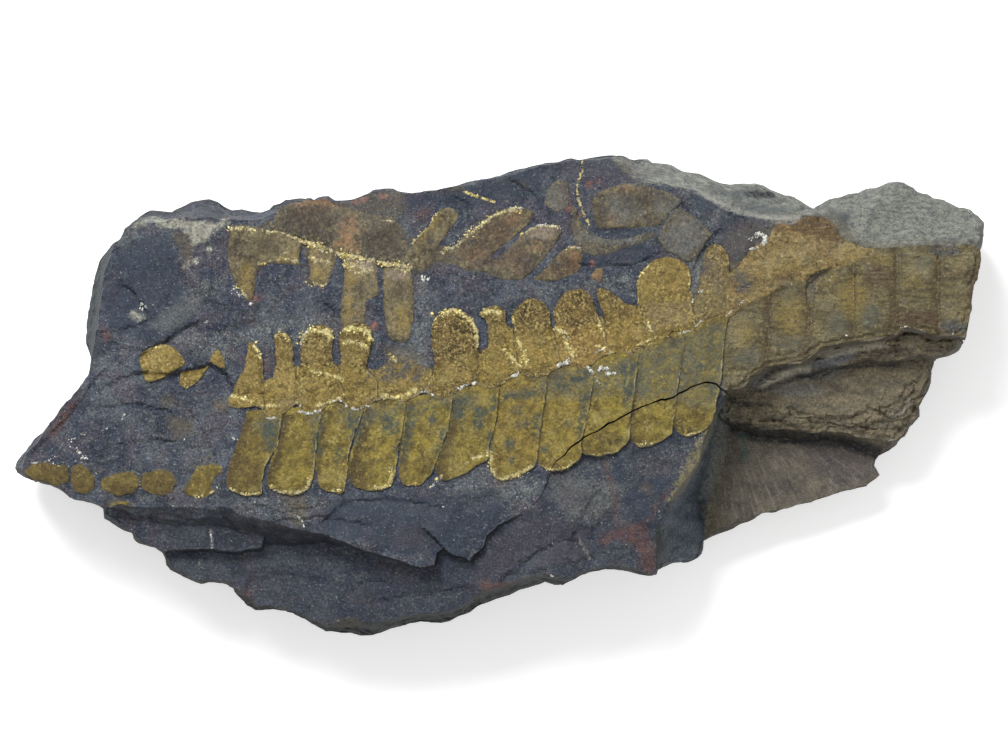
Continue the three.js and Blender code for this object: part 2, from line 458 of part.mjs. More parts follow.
const shale = new THREE.MeshStandardMaterial({ color: 0x5a5560, roughness: 0.78, metalness: 0 });
const slab = new THREE.Mesh(toGeometry(fossilSlab()), shale);
slab.name = 'fossil_slab';

const group = new THREE.Group();
group.add(slab);
export default group;
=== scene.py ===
import math
import bpy
import numpy as np
from mathutils import Matrix, Vector
from mathutils.bvhtree import BVHTree


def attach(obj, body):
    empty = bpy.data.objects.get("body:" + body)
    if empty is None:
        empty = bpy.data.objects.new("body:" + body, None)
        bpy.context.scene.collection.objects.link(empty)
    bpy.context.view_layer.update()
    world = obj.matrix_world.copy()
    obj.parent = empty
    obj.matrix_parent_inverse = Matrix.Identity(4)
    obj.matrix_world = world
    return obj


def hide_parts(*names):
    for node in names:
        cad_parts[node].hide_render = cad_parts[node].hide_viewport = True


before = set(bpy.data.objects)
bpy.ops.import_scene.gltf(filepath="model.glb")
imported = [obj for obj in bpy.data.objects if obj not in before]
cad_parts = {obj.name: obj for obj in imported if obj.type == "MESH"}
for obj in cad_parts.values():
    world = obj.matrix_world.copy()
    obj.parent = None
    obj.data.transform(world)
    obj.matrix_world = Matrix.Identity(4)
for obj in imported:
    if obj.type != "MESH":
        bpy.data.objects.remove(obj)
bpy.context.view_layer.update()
metre = 0.001  # shapes are worked out in millimetres, in the CAD frame, and scaled at the end
print("frame loaded")


# numbers that the shapes are made from

def lattice(ix, iy, iz, seed):
    n = (ix * 374761393 + iy * 668265263 + iz * 1442695041 + seed * 1013904223) & 0xFFFFFFFF
    n = ((n ^ (n >> 13)) * 1274126177) & 0xFFFFFFFF
    n = ((n ^ (n >> 16)) * 1103515245) & 0xFFFFFFFF
    return ((n ^ (n >> 15)) & 0xFFFF) / 65535.0


def swell(x, y, size, seed, z=0.0):
    # smooth unevenness from -1 to 1, with lumps of about this size
    turn = 0.35 + 0.61 * seed
    u = (x * math.cos(turn) - y * math.sin(turn)) / size
    v = (x * math.sin(turn) + y * math.cos(turn)) / size
    w = np.zeros_like(u) + z / size
    iu, iv, iw = (np.floor(a).astype(np.int64) for a in (u, v, w))
    fu, fv, fw = u - iu, v - iv, w - iw
    fu, fv, fw = (a * a * (3 - 2 * a) for a in (fu, fv, fw))
    total = 0.0
    for du in (0, 1):
        for dv in (0, 1):
            for dw in (0, 1):
                weight = (fu if du else 1 - fu) * (fv if dv else 1 - fv) * (fw if dw else 1 - fw)
                total = total + weight * lattice(iu + du, iv + dv, iw + dw, seed)
    return 2 * total - 1


def steps(value, count):
    # a smooth value turned into flat treads with short risers
    scaled = value * count
    base = np.floor(scaled)
    rise = np.clip((scaled - base - 0.42) / 0.16, 0, 1)
    return (base + rise * rise * (3 - 2 * rise)) / count


def pairs(points):
    # a flat list of x, y, x, y and so on, as rows of x and y
    points = np.asarray(points, float)
    return points.reshape(-1, 2) if points.ndim == 1 else points


def lineSide(x, y, line):
    # how far each point is from a line: positive on its right as it runs, negative on its left
    line = pairs(line)
    best, side = np.full(x.shape, 1e9), np.ones(x.shape)
    for (ax, ay), (bx, by) in zip(line[:-1], line[1:]):
        dx, dy = bx - ax, by - ay
        t = np.clip(((x - ax) * dx + (y - ay) * dy) / max(dx * dx + dy * dy, 1e-9), 0, 1)
        far = (x - ax - t * dx) ** 2 + (y - ay - t * dy) ** 2
        side = np.where(far < best, np.where((x - ax) * dy < (y - ay) * dx, -1, 1), side)
        best = np.minimum(best, far)
    return np.sqrt(best) * side


def lineDistance(x, y, line, closed=False):
    line = pairs(line)
    return np.abs(lineSide(x, y, np.concatenate([line, line[:1]]) if closed else line))


def inside(x, y, shape):
    odd = np.zeros(x.shape, bool)
    for (ax, ay), (bx, by) in zip(shape, np.roll(shape, -1, axis=0)):
        crosses = (ay > y) != (by > y)
        at = ax + (y - ay) * (bx - ax) / (by - ay if by != ay else 1e-9)
        odd ^= crosses & (x < at)
    return odd


def inset(x, y, shape, reach=3.0):
    # distance to a shape's margin: positive inside it, negative outside, held to plus or minus reach
    shape = pairs(shape)
    low, high = shape.min(0) - reach, shape.max(0) + reach
    near = (x > low[0]) & (x < high[0]) & (y > low[1]) & (y < high[1])
    result = np.full(x.shape, -reach)
    if near.any():
        px, py = x[near], y[near]
        far = np.minimum(lineDistance(px, py, shape, True), reach)
        result[near] = np.where(inside(px, py, shape), far, -far)
    return result


def spot(x, y, rx, ry=None, turn=0, count=10):
    # an oval patch as a list of points
    ry = ry or rx
    c, s = math.cos(math.radians(turn)), math.sin(math.radians(turn))
    ring = [(rx * math.cos(a), ry * math.sin(a)) for a in np.linspace(0, 2 * math.pi, count, endpoint=False)]
    return [(x + u * c - v * s, y + u * s + v * c) for u, v in ring]


def patches(x, y, shapes):
    # the largest inset into any of the shapes; one of up to five numbers is a spot: x, y, radii and turn
    return np.max([inset(x, y, spot(*shape) if len(shape) < 6 else shape) for shape in shapes], axis=0)


def resample(rows, step, closed=True):
    # adds points along a table of rows, so that no gap is longer than step
    rows = pairs(rows).tolist()
    made = []
    for a, b in zip(rows, rows[1:] + rows[:1] if closed else rows[1:]):
        gap = max(math.dist(a[i:i + 2], b[i:i + 2]) for i in range(0, min(len(a), 4) - 1, 2))
        count = max(1, math.ceil(gap / step))
        made += [[p + (q - p) * i / count for p, q in zip(a, b)] for i in range(count)]
    return np.array(made if closed else made + [rows[-1]])


def clockwise(points):
    points = pairs(points)
    x, y = points[:, 0], points[:, 1]
    area = np.sum(x * np.roll(y, -1) - np.roll(x, -1) * y)
    return points if area < 0 else points[::-1]


# meshes and cuts

def makeObject(name, vertices, faces):
    mesh = bpy.data.meshes.new(name)
    mesh.from_pydata(np.asarray(vertices).tolist(), [], faces)
    mesh.update()
    made = bpy.data.objects.new(name, mesh)
    bpy.context.scene.collection.objects.link(made)
    return made


def loft(name, rings):
    # rings run clockwise seen from above, lowest first, each with the same number of points
    rings = np.asarray(rings, float)
    levels, count = rings.shape[:2]
    i = np.arange(count)
    nextOne = (i + 1) % count
    faces = []
    for a in range(0, (levels - 1) * count, count):
        faces += np.stack([a + i, a + count + i, a + count + nextOne, a + nextOne], 1).tolist()
    faces += [i.tolist(), ((levels - 1) * count + i[::-1]).tolist()]
    return makeObject(name, rings.reshape(-1, 3), faces)


def faceBlock(name, box, height, step, base):
    # a block whose top follows a height function, on a slightly uneven grid
    x0, y0, x1, y1 = box
    nx, ny = math.ceil((x1 - x0) / step), math.ceil((y1 - y0) / step)
    gx, gy = np.meshgrid(np.linspace(x0, x1, nx + 1), np.linspace(y0, y1, ny + 1))
    ix, iy = np.meshgrid(np.arange(nx + 1), np.arange(ny + 1))
    inner = (ix > 0) & (ix < nx) & (iy > 0) & (iy < ny)
    shift = 0.42 * step
    gx = gx + inner * shift * (lattice(ix, iy, 0 * ix, 5) - 0.5)
    gy = gy + inner * shift * (lattice(ix, iy, 0 * ix, 9) - 0.5)
    top = np.stack([gx, gy, height(gx, gy)], -1).reshape(-1, 3)
    at = iy * (nx + 1) + ix
    a, b, c, d = at[:-1, :-1], at[:-1, 1:], at[1:, 1:], at[1:, :-1]
    even = ((ix + iy)[:-1, :-1] % 2 == 0)[..., None]
    first = np.where(even, np.stack([a, b, c], -1), np.stack([a, b, d], -1)).reshape(-1, 3)
    second = np.where(even, np.stack([a, c, d], -1), np.stack([b, c, d], -1)).reshape(-1, 3)
    border = np.concatenate([at[0, :-1], at[:-1, -1], at[-1, :0:-1], at[:0:-1, 0]])
    under = top[border].copy()
    under[:, 2] = base
    start, count = len(top), len(border)
    k = np.arange(count)
    n = (k + 1) % count
    sides = np.stack([border, start + k, start + n, border[n]], 1)
    faces = first.tolist() + second.tolist() + sides.tolist() + [(start + k[::-1]).tolist()]
    return makeObject(name, np.concatenate([top, under]), faces)


def bake(thing):
    # the object's modifiers turned into a plain mesh
    graph = bpy.context.evaluated_depsgraph_get()
    made = bpy.data.meshes.new_from_object(thing.evaluated_get(graph), depsgraph=graph)
    thing.modifiers.clear()
    old, thing.data = thing.data, made
    made.name = thing.name
    bpy.data.meshes.remove(old)


def cut(target, tools, operation):
    # a Boolean with several tools at once, which are used up
    modifier = target.modifiers.new("cut", "BOOLEAN")
    modifier.operation = operation
    modifier.solver = "MANIFOLD"
    group = bpy.data.collections.new("tools")
    for tool in tools:
        group.objects.link(tool)
    if len(tools) == 1:
        modifier.object = tools[0]
    else:
        modifier.operand_type = "COLLECTION"
        modifier.collection = group
    bake(target)
    for tool in tools:
        mesh = tool.data
        bpy.data.objects.remove(tool)
        bpy.data.meshes.remove(mesh)
    bpy.data.collections.remove(group)
    return target


def points(thing, kind="vertices", what="co"):
    rows = getattr(thing.data, kind)
    values = np.zeros(len(rows) * 3)
    rows.foreach_get(what, values)
    return values.reshape(-1, 3).T


def setAttribute(thing, name, values):
    attribute = thing.data.attributes.new(name, "FLOAT", "POINT")
    attribute.data.foreach_set("value", np.asarray(values, np.float32))


# the slab: a stack of broken beds, trimmed by a worn outer wall

slabSizes = {
    "faceZ": 26.3, "lowerFaceZ": 25.9, "middleShelfZ": 21.4, "rightShelfZ": 22.6, "rightTreadZ": 17.4,
    "rightSillZ": 15.9, "rightFootZ": 9.7, "bevelFootZ": 17.5, "rimFootZ": 12, "backFootZ": 18,
    "crackFootZ": 24.9, "shelfFootZ": 18.6, "sillFootZ": 8, "deepZ": -5, "ledgeFall": 0.6,
    "faceGrid": 0.5, "ledgeGrid": 0.6, "fineGrid": 0.42, "undersideGrid": 2.2, "edgeStep": 0.7,
    "wallStep": 1.1, "wallRise": 0.9, "wallCentreY": 2, "crackDepth": 1.1, "crackWidth": 0.42,
}
faceZ, deepZ, fall = (slabSizes[name] for name in ("faceZ", "deepZ", "ledgeFall"))
middleShelfZ, rightShelfZ = slabSizes["middleShelfZ"], slabSizes["rightShelfZ"]
bevelFootZ, rimFootZ, backFootZ = slabSizes["bevelFootZ"], slabSizes["rimFootZ"], slabSizes["backFootZ"]
crackFootZ, shelfFootZ, sillFootZ = slabSizes["crackFootZ"], slabSizes["shelfFootZ"], slabSizes["sillFootZ"]
treadFootZ, sillTopFootZ = slabSizes["rightTreadZ"] - fall, slabSizes["rightSillZ"] - fall
faceFootZ = slabSizes["rightFootZ"] - fall

# height, scale in X and in Y, as the CAD wall has them
wallLevels = np.array([
    (0, 0.948, 0.89), (4.6, 0.98, 0.957), (7.6, 1, 1), (10, 0.997, 0.996), (14.9, 1, 0.999),
    (18.8, 0.997, 0.995), (19.3, 0.992, 0.987), (23.4, 0.993, 0.99), (23.9, 0.999, 0.997), (32, 0.994, 0.99),
])
# lines and outlines are x, y, x, y and so on
outline = [
    -91.1, -13.6, -90.7, -12.1, -89.6, -10.8, -87.7, -8.7, -85.8, -6.8, -84.3, -5.1, -83, -3.6, -81.7, -1.8,
    -80.2, -0.3, -78.7, 1.6, -77.6, 2.9, -76.9, 4.4, -76.7, 5.7, -76.9, 7, -77.4, 8.5, -77.8, 10.4,
    -77.4, 12.6, -77.2, 15.6, -76.9, 17.9, -76.5, 19.7, -76.1, 21.6, -75.5, 23.5, -75, 25.3, -74.2, 26.5,
    -73.5, 27.6, -72.4, 28.7, -71.1, 29.6, -70.5, 30.4, -69.8, 32.1, -69, 32.8, -67.7, 33.8, -66.2, 34.5,
    -65.3, 34.9, -63.4, 34.7, -61.5, 34.5, -60.6, 35.1, -58.7, 35.8, -57.4, 36.6, -55.9, 36.9, -54.4, 36.9,
    -53.3, 36.7, -52.2, 36, -50.3, 35.1, -48.4, 35.3, -47.1, 34.9, -44.7, 34.7, -43.2, 35.1, -42.4, 35.8,
    -41, 36.2, -40, 36.9, -37.2, 37.1, -35, 36.9, -33.1, 37.5, -32, 37.5, -30.7, 36.7, -28.8, 36.7,
    -26.9, 37.1, -25.6, 37.5, -24.5, 38.1, -23.6, 38.8, -21.7, 39, -19.8, 39, -18.1, 38.4, -16.3, 38.2,
    -14.8, 38.4, -12, 38.8, -8.2, 39.6, -5.4, 40.3, -1.7, 40.9, 0.2, 41.4, 2.1, 42.2, 5.8, 43.1, 8.6, 43.7,
    11.4, 44, 12.9, 44.6, 15.1, 44.4, 17, 44.8, 19.8, 45, 22.3, 45.2, 23.9, 45, 25.4, 44.4, 27.9, 44.6,
    28.8, 43.9, 31.6, 43.7, 32.9, 43.1, 34.8, 42, 37.6, 41.6, 39.1, 41, 41, 40.3, 43.2, 39.7, 46, 39.9,
    48.2, 40.1, 49.7, 39.7, 51.1, 39, 52.5, 38.2, 55.4, 37.3, 57.4, 36, 58.9, 35.2, 60, 36, 61.9, 36.9,
    63.8, 37.5, 65.6, 38.1, 67.5, 38.4, 69, 39, 71.2, 39.4, 73.1, 40.1, 74.6, 40.5, 75.9, 40.1, 77.8, 39.2,
    78.4, 38.4, 80.2, 37.9, 81.5, 37.1, 83.4, 36.7, 84.3, 36.2, 86.2, 35.4, 88.5, 34.9, 89.9, 33.8,
    91.1, 32.6, 90.9, 30.9, 90.9, 29.1, 90.5, 27.2, 90.3, 25, 89.9, 23.1, 89.8, 21.6, 88.6, 20.1,
    88.6, 17.9, 88.5, 16, 88.1, 14.1, 87.7, 11.3, 87.5, 10.2, 86.8, 9.4, 86.2, 8.1, 84.7, 7.2, 82.1, 6.6,
    81.9, 5.7, 81.5, 4.4, 81.2, 2.5, 80.6, 0.7, 79.7, -0.8, 79.1, -2.3, 79.3, -4, 78.4, -5, 77.4, -6.1,
    76.5, -7.8, 75.5, -8.7, 75, -9.6, 73.7, -10.8, 71.8, -11.7, 70.9, -13.2, 71.8, -14.5, 72, -15.1,
    70.9, -16.2, 69.4, -17.3, 67.1, -17.9, 64.7, -18.4, 61.9, -19.2, 59.1, -20.3, 56.3, -20.9, 54.4, -21.6,
    52.2, -22.2, 49.7, -22.5, 48.4, -23.3, 46.9, -24, 45.4, -24.4, 44.1, -25.2, 41.3, -26.3, 39.5, -27.2,
    38.7, -27.6, 38.7, -28.9, 38.3, -30, 37.6, -30.8, 35.7, -31.7, 32.9, -31.7, 31.6, -32.3, 30.1, -33,
    29.7, -33.8, 28.8, -34.1, 27.3, -33.9, 24.5, -33.4, 22.6, -33, 20.4, -32.8, 18.9, -33, 17, -33.4,
    15.1, -34.1, 13.7, -34.9, 12, -35.6, 10.5, -35.6, 8.6, -35.2, 6.7, -35.8, 3.9, -36.6, 2.1, -37.7,
    0.2, -38.2, -1.7, -39, -3.6, -39.7, -5.4, -40.9, -7.3, -41.8, -9.2, -42.5, -11, -42.9, -12.9, -42.9,
    -14.8, -42.7, -16.6, -43.1, -18.5, -43.7, -21.3, -44.4, -23.7, -45.2, -26, -45.3, -27.9, -45,
    -30.7, -44.8, -32.5, -44.6, -33.8, -44, -35.3, -43.1, -37.2, -42, -38.7, -41, -41, -40.7, -42.8, -40.5,
    -45.6, -40.5, -46.6, -40.1, -47.9, -39.2, -48.8, -37.9, -49.6, -37.3, -49.9, -36.4, -51.1, -35.6,
    -52.5, -35.4, -54.4, -35.2, -55.9, -35.6, -57.8, -35.1, -59.1, -34.3, -60.6, -33.6, -61.9, -33,
    -62.6, -31.9, -62.8, -30.8, -63.4, -29.8, -64.7, -28.9, -66.2, -28.3, -67.7, -27.8, -68.6, -27,
    -69, -26.1, -70.5, -25.5, -71.8, -24.8, -73.1, -23.8, -74.4, -23.3, -74.4, -21.4, -75.2, -21,
    -76.5, -20.5, -78.4, -20.1, -80.6, -19.4, -81.5, -18.4, -82.7, -17.5, -84, -16.9, -85.8, -16.5,
    -87.7, -16, -89.8, -15.6, -90.7, -14.9,
]


def footed(footZ, *numbers):
    # part of a bed's edge, with its foot at one height: x and y at the top, then the foot's x and y
    rows = np.reshape(numbers, (-1, 4))
    return np.column_stack([rows, np.full(len(rows), footZ)])


mainBedEdge = np.concatenate([
    footed(rimFootZ, -89, -13.9, -91.8, -14.1, -88.2, -11.5, -90.8, -11.4, -84.6, -7, -86.9, -6.7,
    -80.3, -1.3, -82.4, -0.9, -76.6, 3.6, -78.4, 3.9, -75.5, 8.5, -78.6, 8.6, -74.9, 12.5, -78.3, 12.8,
    -74.3, 17, -77.8, 17.2, -73.5, 22.5, -76.7, 23, -72, 27, -75, 28.2, -69.8, 31, -71.6, 33,
    -67, 32.1, -67.6, 35.2), footed(15, -62.5, 32, -62.5, 35.6, -58.4, 33.2, -58.8, 36.9,
    -55, 33, -55.1, 37.8, -51.5, 32.7, -51, 36.6), footed(16, -45.5, 32.7, -45.4, 35.8,
    -42.2, 33.7, -42.6, 36.6, -39, 35.2, -40.4, 37.8), footed(backFootZ, -35, 36.1, -35, 38,
    -32, 36.7, -31.9, 38.5, -29.4, 35.9, -29.6, 37.8, -24.4, 37.6, -25, 39.2, -20.5, 38.3, -20.5, 40,
    -16, 37.5, -16, 39.3, -6, 39.3, -6.2, 41.2, 4, 41.8, 3.6, 43.6, 13, 43.8, 12.8, 45.7),
    footed(bevelFootZ, 21.6, 44.1, 22, 46.1, 24.2, 41, 27.5, 45.4, 28.6, 39.8, 31.8, 44.6,
    33, 38.9, 35.8, 42.9, 37.2, 37.5, 41.2, 41.4, 40.4, 35.5, 45.4, 40.8, 44.4, 34, 49.6, 40.8,
    49, 32.7, 53.3, 39, 53.4, 32.5, 56.8, 37.8, 56.6, 33.4, 58.9, 35.9, 59.6, 33.4, 61.4, 37.6,
    62.2, 32.2, 65.9, 39, 63.5, 29.8, 71, 40.3, 66.8, 27.8, 75, 41.7, 70.4, 26.9, 78.8, 39.8,
    75.6, 27.4, 83.3, 37.6, 82, 27.6, 89, 36, 88.2, 27.6, 92.4, 32.8), footed(rimFootZ,
    89.8, 26.4, 91.9, 26.6, 89.2, 22, 90.9, 21.8, 88, 19.8, 89.7, 19.6, 87.7, 15.5, 89.6, 15.4,
    86.6, 11, 88.9, 10.4), footed(rightShelfZ, 81.5, 11, 81.6, 10.2, 78.7, 12, 78.8, 11.1,
    75.9, 12.5, 75.9, 11.6, 73.6, 11.2, 73.8, 10.3, 67.5, 10.2, 67.6, 9.3, 62.8, 9.4, 63, 8.6,
    60, 9, 60.3, 8, 58, 7.6, 58.4, 6.7, 55.9, 6.3, 56.1, 5.4, 50.9, 5.6, 51.3, 4.6, 46.9, 3.3, 47.5, 2.3),
    footed(21, 45.1, 1, 45.7, 0.2), footed(20, 42.4, 0.9, 42.6, -0.2), footed(crackFootZ,
    41.4, 1.1, 41, 0.9, 40.6, 2, 40.2, 1.7, 38.4, 2.4, 38.4, 2, 35.7, 1.8, 35.8, 1.4,
    32.6, -0.1, 32.8, -0.5, 28.4, -1.3, 28.6, -1.7, 24.8, -3, 25, -3.4, 21.7, -4.6, 21.9, -5,
    17.2, -7.1, 17.4, -7.5, 12.7, -10.2, 13, -10.5, 9.9, -13, 10.3, -13.2, 8.8, -16, 9.2, -16.1),
    footed(24.6, 7.2, -19.6, 7.6, -19.8), footed(24.4, 5.2, -21.2, 5.4, -21.6), footed(24.2,
    1.7, -23.2, 1.9, -23.7), footed(24, -0.6, -24, -0.2, -24.4), footed(23.8, -2.2, -26.2, -1.7, -26.4),
    footed(23.6, -2.9, -28.2, -2.4, -28.5), footed(23.2, -5.6, -30.7, -5.5, -31.2), footed(23,
    -7.9, -29.7, -7.9, -30.2), footed(22.6, -10.4, -28.2, -10.2, -28.8), footed(22.4,
    -11.6, -29.2, -11, -29.6), footed(22.2, -12.2, -31.6, -11.8, -32.1), footed(21.6,
    -16.4, -31.4, -16.4, -31.9), footed(20.6, -24, -28.9, -24, -29.4), footed(19.8,
    -30.4, -26.7, -30.2, -28), footed(19.4, -39.1, -24.2, -38.9, -28.2), footed(19.8,
    -46.6, -22.5, -46.4, -27.6), footed(21.6, -51.2, -21, -51, -25.4), footed(21.8, -57, -20.5, -57, -24.6,
    -69, -20.7, -68.6, -23.4), footed(rimFootZ, -75.2, -20.2, -75, -22, -79, -19.1, -79.4, -20.9,
    -81.8, -17.4, -82.8, -19, -86.4, -15.6, -86.6, -17.2),
])
lowerBedEdge = np.concatenate([
    footed(16, 42.4, 0.2, 43.6, -0.6), footed(faceFootZ, 41, -1.8, 42.6, -2.8, 39.6, -5, 41.4, -6.2,
    38.1, -9.3, 40.2, -10, 36.4, -13.4, 38.7, -14.4, 33.8, -17.1, 38.2, -18.8, 30.8, -20.6, 38.2, -23.4,
    29.2, -25, 39.6, -28.4, 28.9, -29, 38.6, -31.6), footed(rimFootZ, 29.4, -32, 33.4, -33.4,
    28.4, -33.2, 29, -35.2, 24.5, -32, 24.4, -34.4, 20.4, -31.6, 20.4, -33.8, 15.3, -32.8, 15, -35.2,
    12, -34.2, 12, -36.7, 8.6, -33.4, 8.5, -36.3, 1, -34.9, 0.4, -39.2, -4.2, -37.2, -5.8, -42,
    -8.6, -40, -9.8, -43.8, -16.6, -41.2, -16.8, -44.2, -23.6, -42.6, -23.8, -46.3, -28, -42, -28, -46,
    -32, -43, -32.6, -45.7, -37, -41.1, -37.6, -43, -41, -39.8, -41.2, -41.7, -45.2, -39.5, -46, -41.5,
    -48, -37.3, -49.4, -38.8, -50.8, -34.9, -51.5, -36.6, -57.4, -34.2, -57.8, -36.1,
    -61, -32.2, -62.8, -33.6, -62, -30.4, -64, -30.8, -63, -27, -63.2, -27.2, -60, -22, -60, -22.2,
    -14, -20, -14, -20.2, 0, -14, 0, -14.2, 16, -1, 16, -1.2, 36, 7, 36, 6.8),
])
middleShelfEdge = np.concatenate([
    footed(shelfFootZ, -72, -17, -72, -17.2, -46, -19, -46, -19.2, -43, -25, -42.8, -25.2,
    -44.6, -28.2, -44.4, -28.9, -48.2, -29.2, -48.2, -29.7, -52.2, -29.2, -52.2, -29.8,
    -55.6, -28.4, -55.6, -28.9, -58.7, -28.6, -58.7, -29.1), footed(rimFootZ, -63.2, -29.2, -64, -30.9,
    -65.8, -27.8, -66.4, -29.6, -70.6, -24.2, -71.8, -26, -73.5, -22, -75.4, -22.6),
])
rightShelfEdge = np.concatenate([
    footed(rimFootZ, 85.4, 9.2, 87.8, 8.6, 83.6, 7.4, 84.9, 5.8), footed(treadFootZ, 78.7, 7.2, 78.8, 6.4,
    74.6, 6.7, 74.6, 5.9, 71.2, 6.9, 71.2, 6.1, 65.4, 6.4, 65.5, 5.6, 61, 4.6, 61.2, 3.8,
    56.3, 4.3, 56.5, 3.5, 52.5, 3, 52.7, 2.2, 48.9, 1.9, 49.2, 1.1, 46.2, 0, 46.4, -0.8, 43, 0.1, 43, -0.8,
    42, 5, 42, 4.8, 60, 14, 60, 13.8, 84.5, 13, 84.5, 12.8),
])
rightTreadEdge = np.concatenate([
    footed(rimFootZ, 81.2, 6.2, 83, 6, 80.4, 2.6, 82.2, 2.2, 77.2, -0.6, 80.4, -1.6), footed(sillTopFootZ,
    76, -3.1, 76.3, -3.9, 72.2, -4.2, 72.4, -5, 69.4, -3.8, 69.4, -4.7, 66.4, -4.9, 66.4, -5.5,
    60, -4.6, 60, -5.3, 52.5, -4.2, 52.5, -4.9, 49.7, -3.6, 49.7, -4.3, 42.8, -3.7, 42.6, -4.4,
    40.5, 0, 40.5, -0.2, 44, 6, 44, 5.8, 82, 10, 82, 9.8),
])
rightSillEdge = footed(
    sillFootZ, 80.6, 3, 81.6, 2.6, 78.6, -2.4, 80.4, -2.6, 78.4, -4, 80.6, -4.4, 76.2, -6.4, 78.4, -7.2,
    74.8, -8.2, 76.8, -9.8, 71.8, -8.5, 72.4, -13, 69.4, -8, 70, -12, 65.6, -7.3, 65.8, -10.3,
    61.9, -6.9, 62, -9.4, 54.4, -6.6, 54.4, -9.2, 48.8, -6.5, 48.8, -8.5, 45.1, -5.9, 45.4, -7.5,
    42.3, -4.7, 42.6, -5.6, 40, 0, 40, -0.2, 79, 6, 79, 5.8)
rightFootEdge = footed(
    sillFootZ, 92, 34, 92, 33.8, 92, -20, 92, -20.2, 34, -34, 34, -34.2, 34, 34, 34, 33.8)
crackLine = [
    9, -15.8, 9.9, -13.3, 12.7, -10.2, 17, -7.2, 21.7, -4.6, 24.7, -3.1, 27.6, -1.7, 32.5, -0.3, 35.7, 1.8,
    38.2, 2.5, 40.5, 2.1, 41.8, 0.9,
]
# shallow breaks in the face: depth, width and the line that each follows
faceBreaks = [
    (0.7, 0.9, [-66, 8, -64.2, 9.3, -62, 10.1, -60, 12, -57, 13.3]), (0.8, 0.9, [-66.4, 4.4, -61, 4,
    -58, 4.8, -53.8, 6.1, -52.5, 5.3, -50.8, 4, -50, 2.3]), (0.8, 0.8, [-69.2, 20.2, -67.4, 18.6,
    -66, 16.4]), (0.6, 0.8, [3, 39.8, 4.6, 38.9, 6, 37.9]), (0.5, 0.8, [-9, 37.5, -7.4, 36.9, -6, 35.8]),
    (0.6, 0.9, [15.4, 24.6, 19, 24.4, 23, 24.5, 26, 24.9, 29, 26.2]), (0.6, 0.9, [36.4, 24.4, 37.6, 26.4,
    38.6, 28.2, 40.2, 30]), (0.6, 0.9, [-46.6, -24.4, -40, -23, -33, -22.4, -26, -23.6]),
    (0.5, 1, [-74, 1.4, -70, 3.4, -66.4, 4.4]), (0.5, 1, [-72.6, -2, -67, -1.4, -62, -2.6]),
    (0.5, 1.1, [-86, -9.6, -80, -3.4, -74.6, 3.6]), (0.5, 0.9, [-57, -3.6, -53.6, -9, -52.6, -12]),
    (0.5, 1, [-70, -9, -63, -8, -57, -9.4]), (0.5, 0.9, [-32, -22.6, -29, -19.8, -20, -19, -12, -20.4]),
    (0.5, 0.9, [6.4, -16, 1, -19, -6, -21.4]), (0.3, 1, [-66, 12.6, -62.4, 17.6, -59.4, 22.6]),
    (0.6, 0.8, [-33, 17.2, -30.4, 16, -31, 14.8]), (0.5, 1, [-73.4, 12, -69, 12.6, -66, 14]),
    (0.6, 0.9, [58.4, 21.6, 59.4, 22.6, 61, 23.4]), (0.5, 1, [-44, -20.6, -40, -21.4, -34, -20.6]),
    (1.3, 0.7, [-13, -25.6, -11.7, -27, -10, -28.6]),
]
lowerBreaks = [
    (0.45, 0.9, [14, -25.5, 15.2, -22.6, 17.5, -19.2]), (0.5, 0.8, [1.5, -33.4, 4, -31.4, 8, -28.6,
    10.4, -27.4, 14.4, -26.9, 16.9, -29.7]), (0.4, 0.7, [4.5, -30.5, 7, -29, 9.6, -28]),
    (0.4, 0.8, [23.4, -14.6, 23, -18, 21.6, -23, 18, -26]), (0.35, 0.8, [-63, -29.4, -54, -28.8, -46, -29.4,
    -38, -28.6, -27, -30]), (0.3, 0.9, [-46, -34, -38, -33, -30, -35, -22, -34.6]), (0.35, 0.8, [-24, -38,
    -14, -37, -6, -35.4]),
]
lowerFlake = [
    1.6, -32.8, 4, -30.8, 7.6, -28.6, 11.4, -27.2, 14.6, -27.2, 17, -29.6, 14, -31, 9, -32, 4, -33.2,
]
# thin flakes that stand on the face or are missing from it: rise and outline
flakes = [
    (0.45, [-66, 8, -62, 10.1, -60, 12, -57, 13.3, -52, 12, -46, 14, -44, 20, -52, 27, -66, 27, -73, 20,
    -74, 11]), (-0.45, [-61, 4, -58, 4.8, -53.8, 6, -52.5, 5.3, -50.8, 4, -50.6, -1, -56, -5, -64, -4,
    -67, 1]), (0.3, [17, 38, 22, 40, 30, 39.6, 35, 37.4, 33, 34, 31.5, 31.6, 24, 30.6, 17.4, 31.4]),
    (0.24, [-42, 36, -29, 36.5, -18, 38, -18, 33, -25, 28, -36, 29, -42, 31.5]),
]


def bedding(x, y):
    broad = 0.35 * np.sin(0.07 * x + 0.13 * y + 0.6)
    middle = 0.25 * np.sin(0.19 * x - 0.11 * y + 2.1)
    return broad + middle + 0.12 * np.sin(0.43 * x + 0.37 * y + 4)


def roughness(x, y, seed):
    broad = 0.18 * swell(x, y, 5.3, seed) + 0.16 * swell(x, y, 2.5, seed + 1)
    return broad + 0.1 * swell(x, y, 1.2, seed + 2)


def flaking(x, y, size, height, seed):
    # thin sheets that have come away, with sharp edges
    ragged = 0.22 * swell(x, y, size * 0.22, seed + 4)
    return height * steps(swell(x, y, size, seed) + ragged, 2.5)


def brokenEdge(x, y, depth, width, line):
    # a small step down to the right of a line, which dies out away from it and at its ends
    side = lineSide(x, y, line) + 0.25 * swell(x, y, 1.1, 33)
    return depth * np.clip(1 - np.abs(side) / (3.2 * width), 0, 1) * np.clip(side / 0.35 + 0.5, 0, 1)


